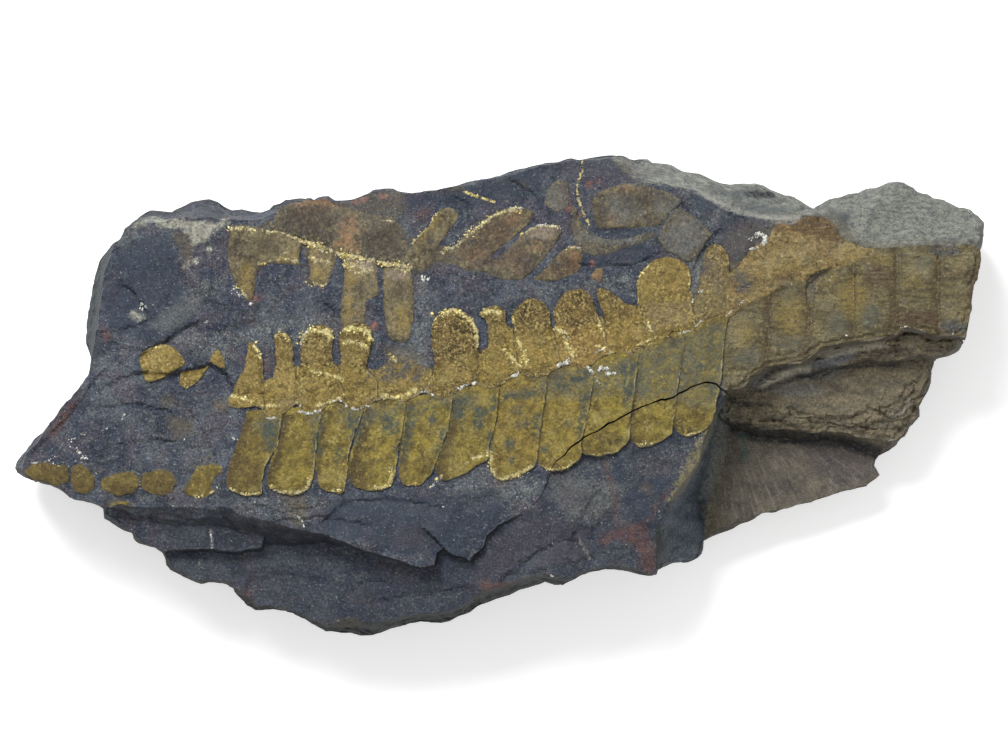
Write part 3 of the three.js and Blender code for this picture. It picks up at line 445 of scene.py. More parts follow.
def mainFace(x, y):
    leftFall = 0.06 * np.maximum(0, -62 - x)
    rightFall = 0.02 * np.maximum(0, x - 45)
    level = faceZ + bedding(x, y) - leftFall - rightFall
    for rise, shape in flakes:
        edge = inset(x, y, shape) + 0.5 * swell(x, y, 2.6, 31)
        level = level + rise * np.clip(0.5 + edge / 0.7, 0, 1)
    for depth, width, line in faceBreaks:
        level = level - brokenEdge(x, y, depth, width, line)
    return level


def terraces(x, y, edge, drop, width):
    # thin broken layers that step down towards a bed's edge
    far = inset(x, y, edge[:, :2], 6) + 0.8 * swell(x, y, 1.9, 151) + 0.4 * swell(x, y, 0.9, 153)
    return drop * steps(np.clip(1 - far / width, 0, 1), 3)


def mainBedFace(x, y):
    crumbling = np.where(x > 43, terraces(x, y, mainBedEdge, 0.6, 0.9), 0)
    return mainFace(x, y) + roughness(x, y, 3) + flaking(x, y, 7.5, 0.3, 12) - crumbling


def lowerFace(x, y):
    # level with the main bed at the crack, falling away from it to the left and downwards
    along = np.clip((-2 - x) / 42, 0, 1)
    away = np.clip(((x - 10) * 0.55 - (y + 12) * 0.85) / 14, 0, 1)
    right = np.clip((x + 8) / 8, 0, 1)
    drop = 0.09 * np.maximum(0, -16 - y) * (1 - right) + 0.05 * np.maximum(0, -21 - y) * right
    smooth = slabSizes["lowerFaceZ"] + bedding(x, y) - 5.8 * along - drop + 0.15 * (1 - away)
    facets = 0.55 * flaking(x, y, 7.5, 1, 21) + 0.5 * np.abs(swell(x, y, 6.5, 26)) - 0.25
    creases = 0.16 * np.abs(swell(x, y, 3.1, 27)) + 0.1 * flaking(x, y, 2.8, 1, 28)
    for depth, width, line in lowerBreaks:
        creases = creases - brokenEdge(x, y, 1.2 * depth, width, line)
    leaf = 0.5 * np.clip(0.5 + (inset(x, y, lowerFlake) + 0.3 * swell(x, y, 2.1, 29)) / 0.6, 0, 1)
    total = smooth + facets * (0.25 + 0.75 * away) + creases + leaf + 1.2 * roughness(x, y, 22)
    return np.minimum(total, mainBedFace(x, y) + 0.05)


def middleShelf(x, y):
    slope = middleShelfZ + 0.2 * (y + 28) + 0.5 * bedding(x, y)
    return slope + roughness(x, y, 41) + flaking(x, y, 6, 0.25, 42)


def layered(z, thick):
    # the same height broken into thin layers with sharp edges
    base = np.floor(z / thick)
    rise = np.clip((z / thick - base - 0.78) / 0.22, 0, 1)
    return thick * (base + rise) + 0.16 * (z - thick * base)


def crags(x, y, seed):
    # sharp little ridges where thin layers have broken off, drawn out along the ledge
    return 0.7 * np.abs(swell(0.5 * x, y, 1.9, seed)) + 0.4 * np.abs(swell(0.6 * x, y, 0.9, seed + 1)) - 0.4


def rightShelf(x, y):
    slope = rightShelfZ + 0.22 * (y - 8.5) - 0.03 * (x - 60) + 0.5 * bedding(x, y)
    return layered(slope + crags(x, y, 51) - terraces(x, y, rightShelfEdge, 1.2, 2), 0.55)


def rightTread(x, y):
    slope = slabSizes["rightTreadZ"] + 0.05 * y - 0.02 * (x - 60) + 0.6 * bedding(x, y)
    near = np.clip(1 - lineDistance(x, y, rightTreadEdge[2:11, :2]) / 3, 0, 1)
    lip = near * np.clip((80 - x) / 16, 0.25, 1) * crags(x, y, 65)
    return layered(slope + 0.7 * roughness(x, y, 61) + lip - terraces(x, y, rightTreadEdge, 0.8, 1.8), 0.6)


def rightSill(x, y):
    slope = slabSizes["rightSillZ"] + 0.08 * (y + 6) - 0.02 * (x - 60) + 0.5 * bedding(x, y)
    return layered(slope + 1.3 * crags(x, y, 71) - terraces(x, y, rightSillEdge, 1, 1.6), 0.5)


def rightFoot(x, y):
    slope = slabSizes["rightFootZ"] - 0.02 * (x - 55) + 0.03 * (y + 15) + 0.7 * bedding(x, y)
    return slope + 0.8 * roughness(x, y, 81)


def bed(name, edge, height, step, rough=0.34, levels=10):
    # walls that slope from each edge point to its foot, in thin layers, cut by the bed's own top face
    rows = resample(edge, slabSizes["edgeStep"])
    lipX, lipY, footX, footY, footZ = rows.T
    wide = np.hypot(lipX - footX, lipY - footY)
    give = np.clip(wide / 1.2, 0.25, 1)
    broadX, broadY = (rough * (swell(lipX, lipY, 3.1, seed) + 0.45 * swell(lipX, lipY, 1.3, seed + 1))
                      for seed in (101, 103))
    top = height(lipX, lipY)
    rings = []
    for share in np.linspace(0, 1, levels):
        x, y = footX + (lipX - footX) * share, footY + (lipY - footY) * share
        z = footZ + (top - footZ) * share
        layer = np.floor((z + 0.3 * swell(x, y, 11, 107)) / 0.7)
        swing = math.sin(math.pi * share)
        fine = 0.45 * give * swing
        slant = np.clip(wide / 4, 0, 1.2) * swing
        x = x + broadX + fine * swell(x, y, 1.7, 109, 3.7 * layer)
        y = y + broadY + fine * swell(x, y, 1.7, 111, 3.7 * layer)
        uneven = 0.4 * swell(x, y, 2.6, 113) + 0.3 * swell(x, y, 1.2, 115)
        uneven = uneven - 0.3 * np.abs(swell(x, y, 3.7, 117))
        rings.append(np.stack([x, y, z + slant * uneven], 1))
    # the walls go on a little beyond the lip, so that the top face cuts them cleanly
    foot, lip = rings[0], rings[-1]
    over = 0.6
    rise = over / np.maximum(lip[:, 2] - foot[:, 2], over)
    beyond = lip + np.stack([(lipX - footX) * rise, (lipY - footY) * rise, rise * 0 + over], 1)
    low, high = foot.copy(), beyond.copy()
    low[:, 2], high[:, 2] = deepZ, faceZ + 10
    block = loft(name, [low] + rings + [beyond, high])
    spans = rows[:, [0, 2]], rows[:, [1, 3]]
    box = [span.min() - 1 for span in spans] + [span.max() + 1 for span in spans]
    return cut(block, [faceBlock(name + "Face", box, height, step, deepZ - 1)], "INTERSECT")


def outerWall():
    line = resample(clockwise(outline), slabSizes["wallStep"])
    x, y = line.T
    along = np.roll(line, -1, axis=0) - np.roll(line, 1, axis=0)
    along /= np.linalg.norm(along, axis=1)[:, None]
    centre = slabSizes["wallCentreY"]
    rings = []
    for z in np.arange(0, 29.5, slabSizes["wallRise"]):
        scaleX, scaleY = (np.interp(z, wallLevels[:, 0], wallLevels[:, k]) for k in (1, 2))
        layer = np.floor((z + 0.9 * swell(x, y, 17, 121)) / 1.15)
        back = 0.42 + 0.46 * swell(x, y, 5.2, 123, 7.3 * layer) + 0.2 * swell(x, y, 1.5, 125, 5.1 * layer)
        back = np.maximum(back + 0.12 * swell(x, y, 1.1, 127, z), 0)
        rings.append(np.stack([x * scaleX + along[:, 1] * back,
                               centre + (y - centre) * scaleY - along[:, 0] * back, 0 * x + z], 1))
    return loft("outerWall", rings)


def underside(x, y):
    # the flat it rests on, with a few shallow hollows
    return -np.maximum(0, swell(x, y, 13, 131) - 0.1) * 0.5 - 0.1 * (1 + swell(x, y, 3.1, 133))


def crackWedge():
    x, y = resample(crackLine, 0.5, closed=False).T
    x = x + 0.2 * swell(x, y, 1.7, 141) + 0.1 * swell(x, y, 0.8, 142)
    y = y + 0.2 * swell(x, y, 1.7, 143) + 0.1 * swell(x, y, 0.8, 144)
    along = np.gradient(np.stack([x, y], 1), axis=0)
    along /= np.linalg.norm(along, axis=1)[:, None]
    half = np.full(len(x), slabSizes["crackWidth"] / 2) * (0.75 + 0.35 * swell(x, y, 2.2, 145))
    half = half * np.clip(np.hypot(x - x[0], y - y[0]) / 6, 0.25, 1)
    half[-1] *= 0.2
    rings = []
    for spread, rise in ((0.35, -slabSizes["crackDepth"]), (2.2, 3)):
        ring = []
        for side in (1, -1):
            px, py = x - along[:, 1] * half * spread * side, y + along[:, 0] * half * spread * side
            ring.append(np.stack([px, py, mainFace(x, y) + rise], 1)[::side])
        rings.append(clockwise(np.concatenate(ring)))
    return loft("crack", rings)


def makeSlab():
    grid, ledge, fine = slabSizes["faceGrid"], slabSizes["ledgeGrid"], slabSizes["fineGrid"]
    base = bed("slab", rightFootEdge, rightFoot, ledge, 0, 2)
    others = [bed(*row) for row in (
        ("sill", rightSillEdge, rightSill, fine, 0.65), ("tread", rightTreadEdge, rightTread, fine, 0.65),
        ("rightShelf", rightShelfEdge, rightShelf, fine, 0.6),
        ("lower", lowerBedEdge, lowerFace, ledge, 0.34, 18),
        ("middle", middleShelfEdge, middleShelf, ledge), ("main", mainBedEdge, mainBedFace, grid, 0.34, 14),
    )]
    cut(base, others, "UNION")
    cut(base, [outerWall()], "INTERSECT")
    # the underside is a block with its uneven face downwards
    block = faceBlock("under", [-95, -50, 95, 50], underside, slabSizes["undersideGrid"], -45)
    for vertex in block.data.vertices:
        vertex.co.z = -vertex.co.z
    block.data.flip_normals()
    cut(base, [block], "INTERSECT")
    return cut(base, [crackWedge()], "DIFFERENCE")


slab = makeSlab()
print("slab cut,", len(slab.data.polygons), "faces")


# the fronds: thin films of iron mineral on the main bed, one plate for each leaflet

def smoothLine(shape):
    # rounds the corners of a closed shape a little
    after = np.roll(shape, -1, axis=0)
    return np.stack([0.78 * shape + 0.22 * after, 0.22 * shape + 0.78 * after], 1).reshape(-1, 2)


def plate(name, shape, height, grid, ragged=0.13, seed=0, sink=1.1):
    # one leaflet: its outline, a little crumbled, standing from inside the stone up to its own top face
    x, y = resample(smoothLine(clockwise(shape)), 0.4).T
    x, y = (a + ragged * (swell(x, y, 1.5, s + seed) + 0.8 * swell(x, y, 0.7, s + 1 + seed))
            for a, s in ((x, 201), (y, 203)))
    rings = [np.stack([x, y, mainFace(x, y) - sink], 1), np.stack([x, y, 0 * x + faceZ + 6], 1)]
    box = [x.min() - 0.5, y.min() - 0.5, x.max() + 0.5, y.max() + 0.5]
    return cut(loft(name, rings), [faceBlock(name + "Face", box, height, grid, faceZ - 12)], "INTERSECT")


def joinPlates(plates, name):
    base = plates[0]
    if len(plates) > 1:
        cut(base, plates[1:], "UNION")
    cut(base, [crackWedge()], "DIFFERENCE")
    base.name = base.data.name = name
    return base


def crumple(x, y, size, seed):
    return swell(x, y, size, seed) + 0.6 * swell(x, y, size * 0.5, seed + 1)


def feather(far, width, rise, below=0.14):
    # a film that thins out to nothing towards its margin, and goes under the stone's face beyond it
    share = np.clip(far / width, 0, 1)
    return (rise + below) * (1 - (1 - share) ** 2) - below


def nearestSide(x, y, lines):
    # the signed distance to whichever line is nearest, positive to the left of lines that run downwards
    nearest = np.full(x.shape, 3.0)
    for line in lines:
        side = lineSide(x, y, line)
        nearest = np.where(np.abs(side) < np.abs(nearest), side, nearest)
    return nearest


# lower row, from left to right: the left edge from base to tip, the tip, then the right edge from tip to base
lowerFrondSizes = {"grid": 0.3, "leftRise": 0.2, "rightRise": 0.4, "crumple": 0.07, "lap": 1.1}
lowerLeaflets = [
    ([-47.2, -4.4, -48.4, -8, -50, -12, -50.7, -15], [-50.5, -17.5, -47, -18.8, -44, -18.5], [-44, -16.5,
     -43.5, -13, -41, -9, -40.5, -4.5]),
    ([-40.1, -4, -40.8, -10, -43.2, -15.5], [-43, -17, -41, -18.2, -38, -18.6, -35.6, -17.6], [-34.5, -15.4,
     -33.9, -8, -33, -3.6]),
    ([-32.3, -3.2, -33.5, -10, -33.9, -14.5], [-33.6, -16.8, -32, -18, -28.8, -18.2], [-28.3, -16,
     -27.8, -10, -25.2, -3]),
    ([-24.5, -2.8, -25.8, -8, -27, -12, -27.9, -16], [-26.8, -17.2, -24, -17.8, -21, -17.5,
     -19.8, -16.4], [-19.2, -14, -18.3, -8, -17.4, -2]),
    ([-16.8, -2, -17.5, -9, -18.6, -15], [-17.6, -17, -14.5, -16.7, -12.5, -14.4], [-11.4, -11.5, -9.4, -6,
     -8.7, -1]),
    ([-8.3, -0.8, -8.8, -6, -11, -12, -11.6, -15], [-10, -16, -6, -14.5, -4.6, -13.2,
     -2.5, -12.5], [-1.9, -11.5, -1.8, -9, -0.5, -5, 0, 1]),
    ([0.3, 1.8, -0.4, -5, -1.6, -9, -1.7, -13], [-1.3, -14.9, 0.5, -16, 4, -15.1, 6.4, -13.4], [7.1, -12,
     7.4, -9, 8.1, -3, 8.9, 2.5]),
    ([9.2, 3, 8.3, -4, 7.4, -10, 7.5, -13], [9, -14, 12, -13.9, 14.6, -12.4], [15.5, -11, 15.2, -9,
     16.5, -4, 17.3, 1]),
    ([17.6, 2, 16.6, -5, 15.4, -9, 15.7, -10.8], [18, -11.3, 22, -10.6, 23.7, -9], [24.3, -8, 24.3, -5,
     25.2, 0, 25.7, 5]),
    ([26, 5, 25.1, -1, 24.5, -5, 24.6, -8.4], [26, -9.6, 29, -9.1, 31.5, -7.7, 32.3, -6.7], [32.4, -5,
     33, 0, 33.9, 6]),
    ([34.1, 7.5, 33.2, 1, 32.4, -3, 32.6, -6.3], [34.5, -7.7, 37.5, -7, 39.5, -5.2], [40.2, -3, 41.5, 4,
     41.9, 10]),
]
# how far each one goes on beyond its base, under the upper row
lowerBases = [1.8, 1.8, 1.8, 1.8, 1.8, 1.8, 2, 4.6, 5.4, 6.4, 6.4]
# worn tips of the leaflets further left, whose middles have flaked away
looseTips = [
    [-59.3, -18, -58, -16, -57, -14.2, -56.2, -13, -54.5, -12.8, -53.3, -12.3, -51.5, -12.8, -51.2, -14.3,
     -52.8, -15.5, -53.3, -17, -52.2, -17.8, -53.5, -18.8, -55, -19.2, -57.5, -18.9],
    [-66.9, -15, -65.5, -14, -63, -13.5, -60.6, -14, -59.8, -16, -60.4, -18, -62.5, -18.8, -65, -18.6,
     -66.8, -17.2],
    [-74.4, -15.5, -72, -14.6, -70.5, -14, -68, -14, -66.9, -15.2, -66.6, -17, -68.5, -18.5, -71, -19,
     -74, -17.8],
    [-79.7, -13.2, -78, -12.4, -76.3, -13.3, -75, -15.5, -75.1, -17.3, -77, -18.7, -79, -18.3, -80, -16],
    [-88.7, -14, -87, -12.5, -84.5, -12, -82, -12.6, -80.2, -12.6, -79.6, -14.5, -80.1, -16.4, -82.5, -17,
     -88, -15.5],
    [-74.3, -20.4, -71.5, -19.6, -69.5, -19.3, -68, -20.2, -70, -20.7],
]


def lowerShape(i):
    # a lower leaflet's whole outline: its base goes under the upper row and its left edge under its neighbour
    left, tip, right = (pairs(part).tolist() for part in lowerLeaflets[i])
    (rx, ry), (lx, ly), lift = right[-1], left[0], lowerBases[i]
    lap = lowerFrondSizes["lap"] if i else 0
    hidden = [(x - lap, y) for x, y in left[:-1]]
    top = [(rx + 0.15 * lift, ry + lift), (lx - lap + 0.15 * lift, ly + lift)]
    return top[1:] + hidden + left[-1:] + tip + right + top[:1]


def makeLowerFrond():
    sizes = lowerFrondSizes
    plates = []
    for i, (left, tip, right) in enumerate(lowerLeaflets):
        def height(x, y, left=left, right=right, i=i):
            toLeft, toRight = lineDistance(x, y, left), lineDistance(x, y, right)
            share = toLeft / np.maximum(toLeft + toRight, 0.1)
            rise = sizes["leftRise"] + (sizes["rightRise"] - sizes["leftRise"]) * share ** 1.6
            bulge = 0.12 * np.sin(math.pi * share)
            buried = 0.5 * np.clip(inset(x, y, upperSheet) / 0.6, 0, 1)
            rough = sizes["crumple"] * crumple(x, y, 1.5, 211 + i) + 0.04 * swell(x, y, 0.8, 221)
            return mainBedFace(x, y) + rise + bulge + rough - buried

        plates.append(plate(f"leaflet{i}", lowerShape(i), height, sizes["grid"], 0.17, i))
    for i, shape in enumerate(looseTips):
        def height(x, y, shape=shape):
            rise = feather(inset(x, y, shape), 0.7, 0.3, 0.05)
            return mainBedFace(x, y) + rise + 0.07 * crumple(x, y, 1.4, 231) + 0.05 * swell(x, y, 0.7, 233)

        plates.append(plate(f"tip{i}", shape, height, sizes["grid"], 0.4, i + 20))
    return joinPlates(plates, "lower_frond")


# the right end, where the film covers the whole face and the leaflets lie on each other like shingles
rightFrondSizes = {"grid": 0.36, "leftRise": 0.1, "rightRise": 0.38, "step": 0.42}
rightSheet = [
    41.9, 13.6, 41.9, 8, 41.5, 2.4, 43.2, 1.2, 46.6, 3.4, 50, 5.4, 55.7, 6.4, 58, 7.7, 60, 9.1, 65.6, 10.1,
    70, 10.9, 73.6, 11.3, 75.9, 12.6, 78.7, 12.1, 81.7, 11.1, 86.8, 11.1, 87.8, 15.5, 88.2, 20, 89.4, 22,
    90, 26.6, 88.4, 28, 82, 28, 75.6, 27.8, 70.5, 27.4, 67.4, 27.7, 65.2, 28.7, 63.2, 30, 62.8, 31.8,
    61, 33.1, 58.2, 33.5, 56, 32.9, 54.4, 31.7, 52.4, 32.2, 50.9, 31.2, 50.1, 29.5, 48, 28, 46, 26.3,
    44.4, 24.2, 43, 22.8, 41, 21.4, 40.8, 20, 41, 17,
]
rightSeams = [
    [42.1, 24, 42.2, 14, 41.9, 8, 41.5, 2], [51.4, 32, 50.6, 19, 50.3, 9, 50, 5], [59.4, 33, 58.6, 22,
    58.1, 13, 57.2, 7], [66.6, 32, 66.3, 25, 66.1, 15, 65.7, 10], [74.3, 28, 74, 26.6, 74.1, 15, 73.6, 11],
    [82.3, 28.5, 82, 28, 81.9, 18, 81.9, 11], [91, 28, 90.6, 11],
]
rightStep = [42.3, 13.9, 45.1, 16.2, 49.7, 18.4, 52.5, 19.7, 56.3, 21.2, 61, 23.1, 65.6, 24.4, 71, 27]
rightHole = [57.4, 17.4, 57.3, 20.4, 58, 22, 60.6, 23.4, 61, 22.9, 58.9, 21.4, 58.4, 20, 58.4, 17.4]


def rightShare(x, y):
    # how far across its own leaflet each point lies, from 0 at the left seam to 1 at the right
    lines = [pairs(line)[::-1].T for line in rightSeams]
    across = np.array([np.interp(y, lineY, lineX) for lineX, lineY in lines])
    k = np.clip((across <= x).sum(0), 1, len(lines) - 1)
    low, high = np.take_along_axis(across, k[None] - 1, 0)[0], np.take_along_axis(across, k[None], 0)[0]
    return np.clip((x - low) / (high - low), 0, 1)


def overStep(x, y):
    lineX, lineY = pairs(rightStep).T
    return y - np.interp(x, lineX, lineY)


def makeRightFrond():
    sizes = rightFrondSizes

    def height(x, y):
        share = rightShare(x.ravel(), y.ravel()).reshape(x.shape)
        above = np.clip(overStep(x, y) / 0.4, 0, 1)
        fade = np.clip((70 - x) / 14, 0.2, 1)
        rise = sizes["leftRise"] + (sizes["rightRise"] - sizes["leftRise"]) * share ** 2.2 * (1 - 0.6 * above)
        streaks = 0.06 * swell(0.22 * x, y, 0.8, 251) + 0.04 * swell(0.3 * x, y, 0.45, 255)
        streaks = streaks + 0.03 * swell(x, y, 0.9, 257)
        flaky = above * (0.1 * crumple(x, y, 2.2, 261) + flaking(x, y, 5, 0.16, 265))
        flaky = flaky + flaking(0.4 * x, y, 1.7, 0.12, 267)
        hole = 0.9 * np.clip(inset(x, y, rightHole) / 0.3 + 0.6, 0, 1)
        return mainBedFace(x, y) + rise + sizes["step"] * above * fade + streaks + flaky - hole

    return joinPlates([plate("rightSheet", rightSheet, height, sizes["grid"], 0.16, 30)], "right_frond")


# upper row, which lies over the lower one and ends in a scalloped step
upperFrondSizes = {"grid": 0.27, "filmRise": 0.46, "leafletRise": 0.66, "looseRise": 0.42, "crumple": 0.1}
scallops = [
    -44.3, -1.8, -43.2, -4, -41.9, -4.2, -39.1, -2.7, -37.6, -1.2, -36.8, -2.9, -35, -3.3, -33.5, -2.9,
    -31.6, -1.8, -29.7, -0.8, -27.9, -2.2, -26.4, -2.3, -24.5, -1.8, -23.2, -1, -21.3, -0.5, -19.4, -0.8,
    -17.6, -1.2, -15.7, -0.1, -13.8, 0.8, -12, -0.1, -9.7, -0.3, -8.2, 0.5, -6.9, 1.8, -4.5, 2.3, -3.6, 2,
    -1.7, 1.4, 0.2, 1.8, 2.1, 3.1, 3.6, 3.8, 4.9, 3.8, 6.7, 3.3, 8.6, 3.5, 10.1, 4.8, 12, 5.7, 13.3, 5.5,
    15.1, 5, 17, 5.3, 18.9, 7, 20.8, 7.9, 23.6, 7.8, 26, 8.5, 29.2, 10, 31, 10.8, 35.7, 12.2, 37.6, 13.6,
    40.4, 14.1, 42.3, 15.1, 45.1, 17.3,
]
# the film's upper edge between the leaflets, from right to left
filmTop = [
    47, 19.6, 44.8, 21.2, 43.4, 22.8, 41, 22, 37.6, 21.4, 36.6, 20.4, 35.2, 19, 31, 18, 26.2, 16.6, 24, 15,
    19.4, 14.8, 18.3, 14.6, 14, 12.8, 10.7, 13.2, 9.8, 12.8, 6, 12, 2.5, 12.6, 1.5, 13, -1, 10, -2.9, 8.4,
    -4, 8.6, -8, 7, -12.2, 5.2, -14, 5.4, -16.4, 7.6, -20, 7.2, -22.6, 4.8, -24.6, 5.5, -29.2, 5.8,
    -30.6, 5.8, -33, 6, -37, 5.6, -38.2, 5.6, -40, 5, -42.4, 3.4, -43.4, 2.8, -46.6, 1, -49.6, 0.6,
    -50.6, -0.6, -50.2, -2, -48.4, -2.4,
]
upperSheet = scallops + filmTop
upperLeaflets = [
    [-49.8, 0.2, -48.5, 3, -47.3, 5, -46.8, 8.5, -46.5, 10, -45.2, 9.6, -44.2, 8, -44, 6.5, -43.9, 3,
     -43.6, 0.2],
    [-43.6, -0.8, -42, 3, -41.5, 6, -41.8, 11, -41.3, 11.7, -39.3, 11.7, -38.8, 10.5, -38.3, 9, -38.3, 6,
     -37.5, 4, -36.7, -1],
    [-36.9, 0, -37, 9.8, -36.8, 10.7, -35.5, 12.5, -33, 13.3, -31, 12.4, -30.7, 11, -31.2, 8, -30.5, 5,
     -28.8, 1.6],
    [-28.5, 1.6, -29.5, 6, -29.8, 11, -29.3, 12.6, -27, 13.6, -24.4, 13.4, -23.4, 11, -24.2, 7, -24.8, 4.5,
     -22, 2.5, -20.5, 0.6],
    [-12.3, 0.9, -12, 7, -12.8, 10, -12.8, 13, -11, 15.5, -8, 16.6, -5.5, 15, -3.9, 12.5, -3.7, 9, -4.2, 6,
     -4, 2.2],
    [-3.7, 2, -3, 6, -2, 9, -2, 13, -2.5, 14.2, -3.9, 15.2, -2, 16.7, 0, 16.7, 1.2, 15.5, 1, 14.2, 1.6, 13,
     2.4, 10, 3.2, 7, 3.5, 4],
    [3.9, 4, 3.5, 8, 3, 11.5, 2.2, 14.5, 3.5, 17, 6, 18.3, 8.2, 17.6, 9.5, 15.2, 10, 12, 10.8, 8,
     11.4, 5.8],
    [11.7, 6, 11.5, 10, 10.5, 13, 10, 16, 12, 19, 14.5, 20.1, 16.5, 19.3, 17.8, 17, 18.8, 14, 19.5, 11,
     20, 8],
    [20.4, 8.2, 19.9, 13, 18.7, 17, 18.2, 19.2, 18.8, 20.3, 20.9, 19.2, 23.5, 17.3, 26.2, 16.6, 26.8, 14.5,
     27.4, 11, 27, 9.4],
    [27.5, 10, 26.4, 14, 25.5, 18, 25.8, 22, 27.5, 24.4, 29.8, 25.8, 33, 25.8, 35, 24.2, 35.9, 22, 35.3, 19,
     35.4, 16, 36.3, 13],
    [36.7, 14, 37, 18, 37.2, 22, 37.8, 25, 38.6, 27.3, 39.8, 28.4, 41.6, 27.8, 42.7, 25.6, 42.9, 23,
     42.8, 19, 42.8, 15.6],
]
# where one leaflet of the upper row meets the next, from the top down
upperSeams = [
    [-44.4, 3, -43.9, 0.6, -43.8, -2.6], [-38.4, 5.4, -37.2, 2, -36.9, -2.2], [-30.4, 5.8, -29.2, 1.6,
    -28.8, -1], [-24.4, 5, -22.6, 2.4, -22.6, -0.6], [-12.5, 5, -12.5, 1.6, -12.3, 0.2], [-4, 8.4,
    -3.8, 4.6, -4, 2.4], [2.5, 12.6, 2.9, 8.6, 3.9, 4.2], [10, 12.8, 10.8, 8.4, 11.6, 5.9], [19.2, 14.6,
    19.7, 11, 20.4, 8.2], [26.2, 16.6, 26.9, 13, 27.2, 9.6], [35.8, 20, 35.9, 16, 36.5, 13.4], [44, 22,
    43, 18, 42.9, 15.8],
]
# pieces of the upper row that lie apart on the stone at its left end
looseUpper = [
    [-66.2, 8.2, -64.5, 9.2, -61.5, 9.6, -59.5, 8.2, -58.3, 6, -59.5, 5, -61.3, 4.2, -62.2, 3.1, -65.8, 2.4,
     -66.3, 4.5, -67, 6.5],
    [-59.5, 4.5, -58, 4.6, -55.5, 5, -53.8, 5.9, -55.2, 3.5, -56.8, 2, -58.5, 1.2, -59.6, 2.5],
    [-54, 6.2, -53.2, 8, -52.2, 8.6, -51.2, 7, -50.8, 4.8, -51.8, 5.2, -52.8, 5.8],
]


def grooves(x, y):
    # the groove between neighbours, deepest just to the right of the line, with a raised lip on its left
    side = nearestSide(x, y, upperSeams) + 0.25 * swell(x, y, 1.3, 275)
    lip = 0.12 * np.clip(1 - np.abs(side - 0.5) / 0.5, 0, 1)
    return 0.3 * np.clip(1 - np.abs(side + 0.1) / 0.45, 0, 1) - lip


def makeUpperFrond():
    sizes = upperFrondSizes

    def sheetHeight(x, y):
        thin = 0.2 * np.clip((x - 24) / 14, 0, 1)
        worn = 0.25 * np.clip(1 - lineDistance(x, y, [-19, 7, -15, 7]) / 5, 0, 1)
        edge = 0.3 * np.clip(1 - lineDistance(x, y, filmTop) / 0.9, 0, 1)
        grainy = sizes["crumple"] * crumple(x, y, 1.2, 271) + 0.07 * swell(x, y, 0.55, 273)
        return mainBedFace(x, y) + sizes["filmRise"] + grainy - thin - worn - edge - grooves(x, y)

    plates = [plate("sheet", upperSheet, sheetHeight, sizes["grid"], 0.2, 50)]
    for i, shape in enumerate(upperLeaflets + looseUpper):
        loose = i >= len(upperLeaflets)
        rise = sizes["looseRise"] if loose else sizes["leafletRise"] - 0.12 * (i > 7)

        def height(x, y, shape=shape, rise=rise, i=i):
            edge = np.clip(inset(x, y, shape) / 1.3, 0, 1)
            low = np.clip((inset(x, y, upperSheet) + 0.4) / 3, 0, 1)
            coarse = (0.24 - 0.12 * low) * (0.4 + swell(x, y, 3.5, 279) ** 2) * swell(x, y, 0.62, 281)
            coarse = coarse - grooves(x, y)
            crown = 0.34 * (1 - (1 - edge) ** 2) - 0.24 - 0.14 * low * (1 - edge)
            wrinkles = 0.07 * np.abs(swell(x, y, 1.1, 287 + i)) + 0.06 * swell(x, y, 1.7, 283)
            return mainBedFace(x, y) + rise + crown + coarse + wrinkles

        plates.append(plate(f"upper{i}", shape, height, sizes["grid"] * (1 if loose else 0.95), 0.2, i + 52))
    return joinPlates(plates, "upper_frond")


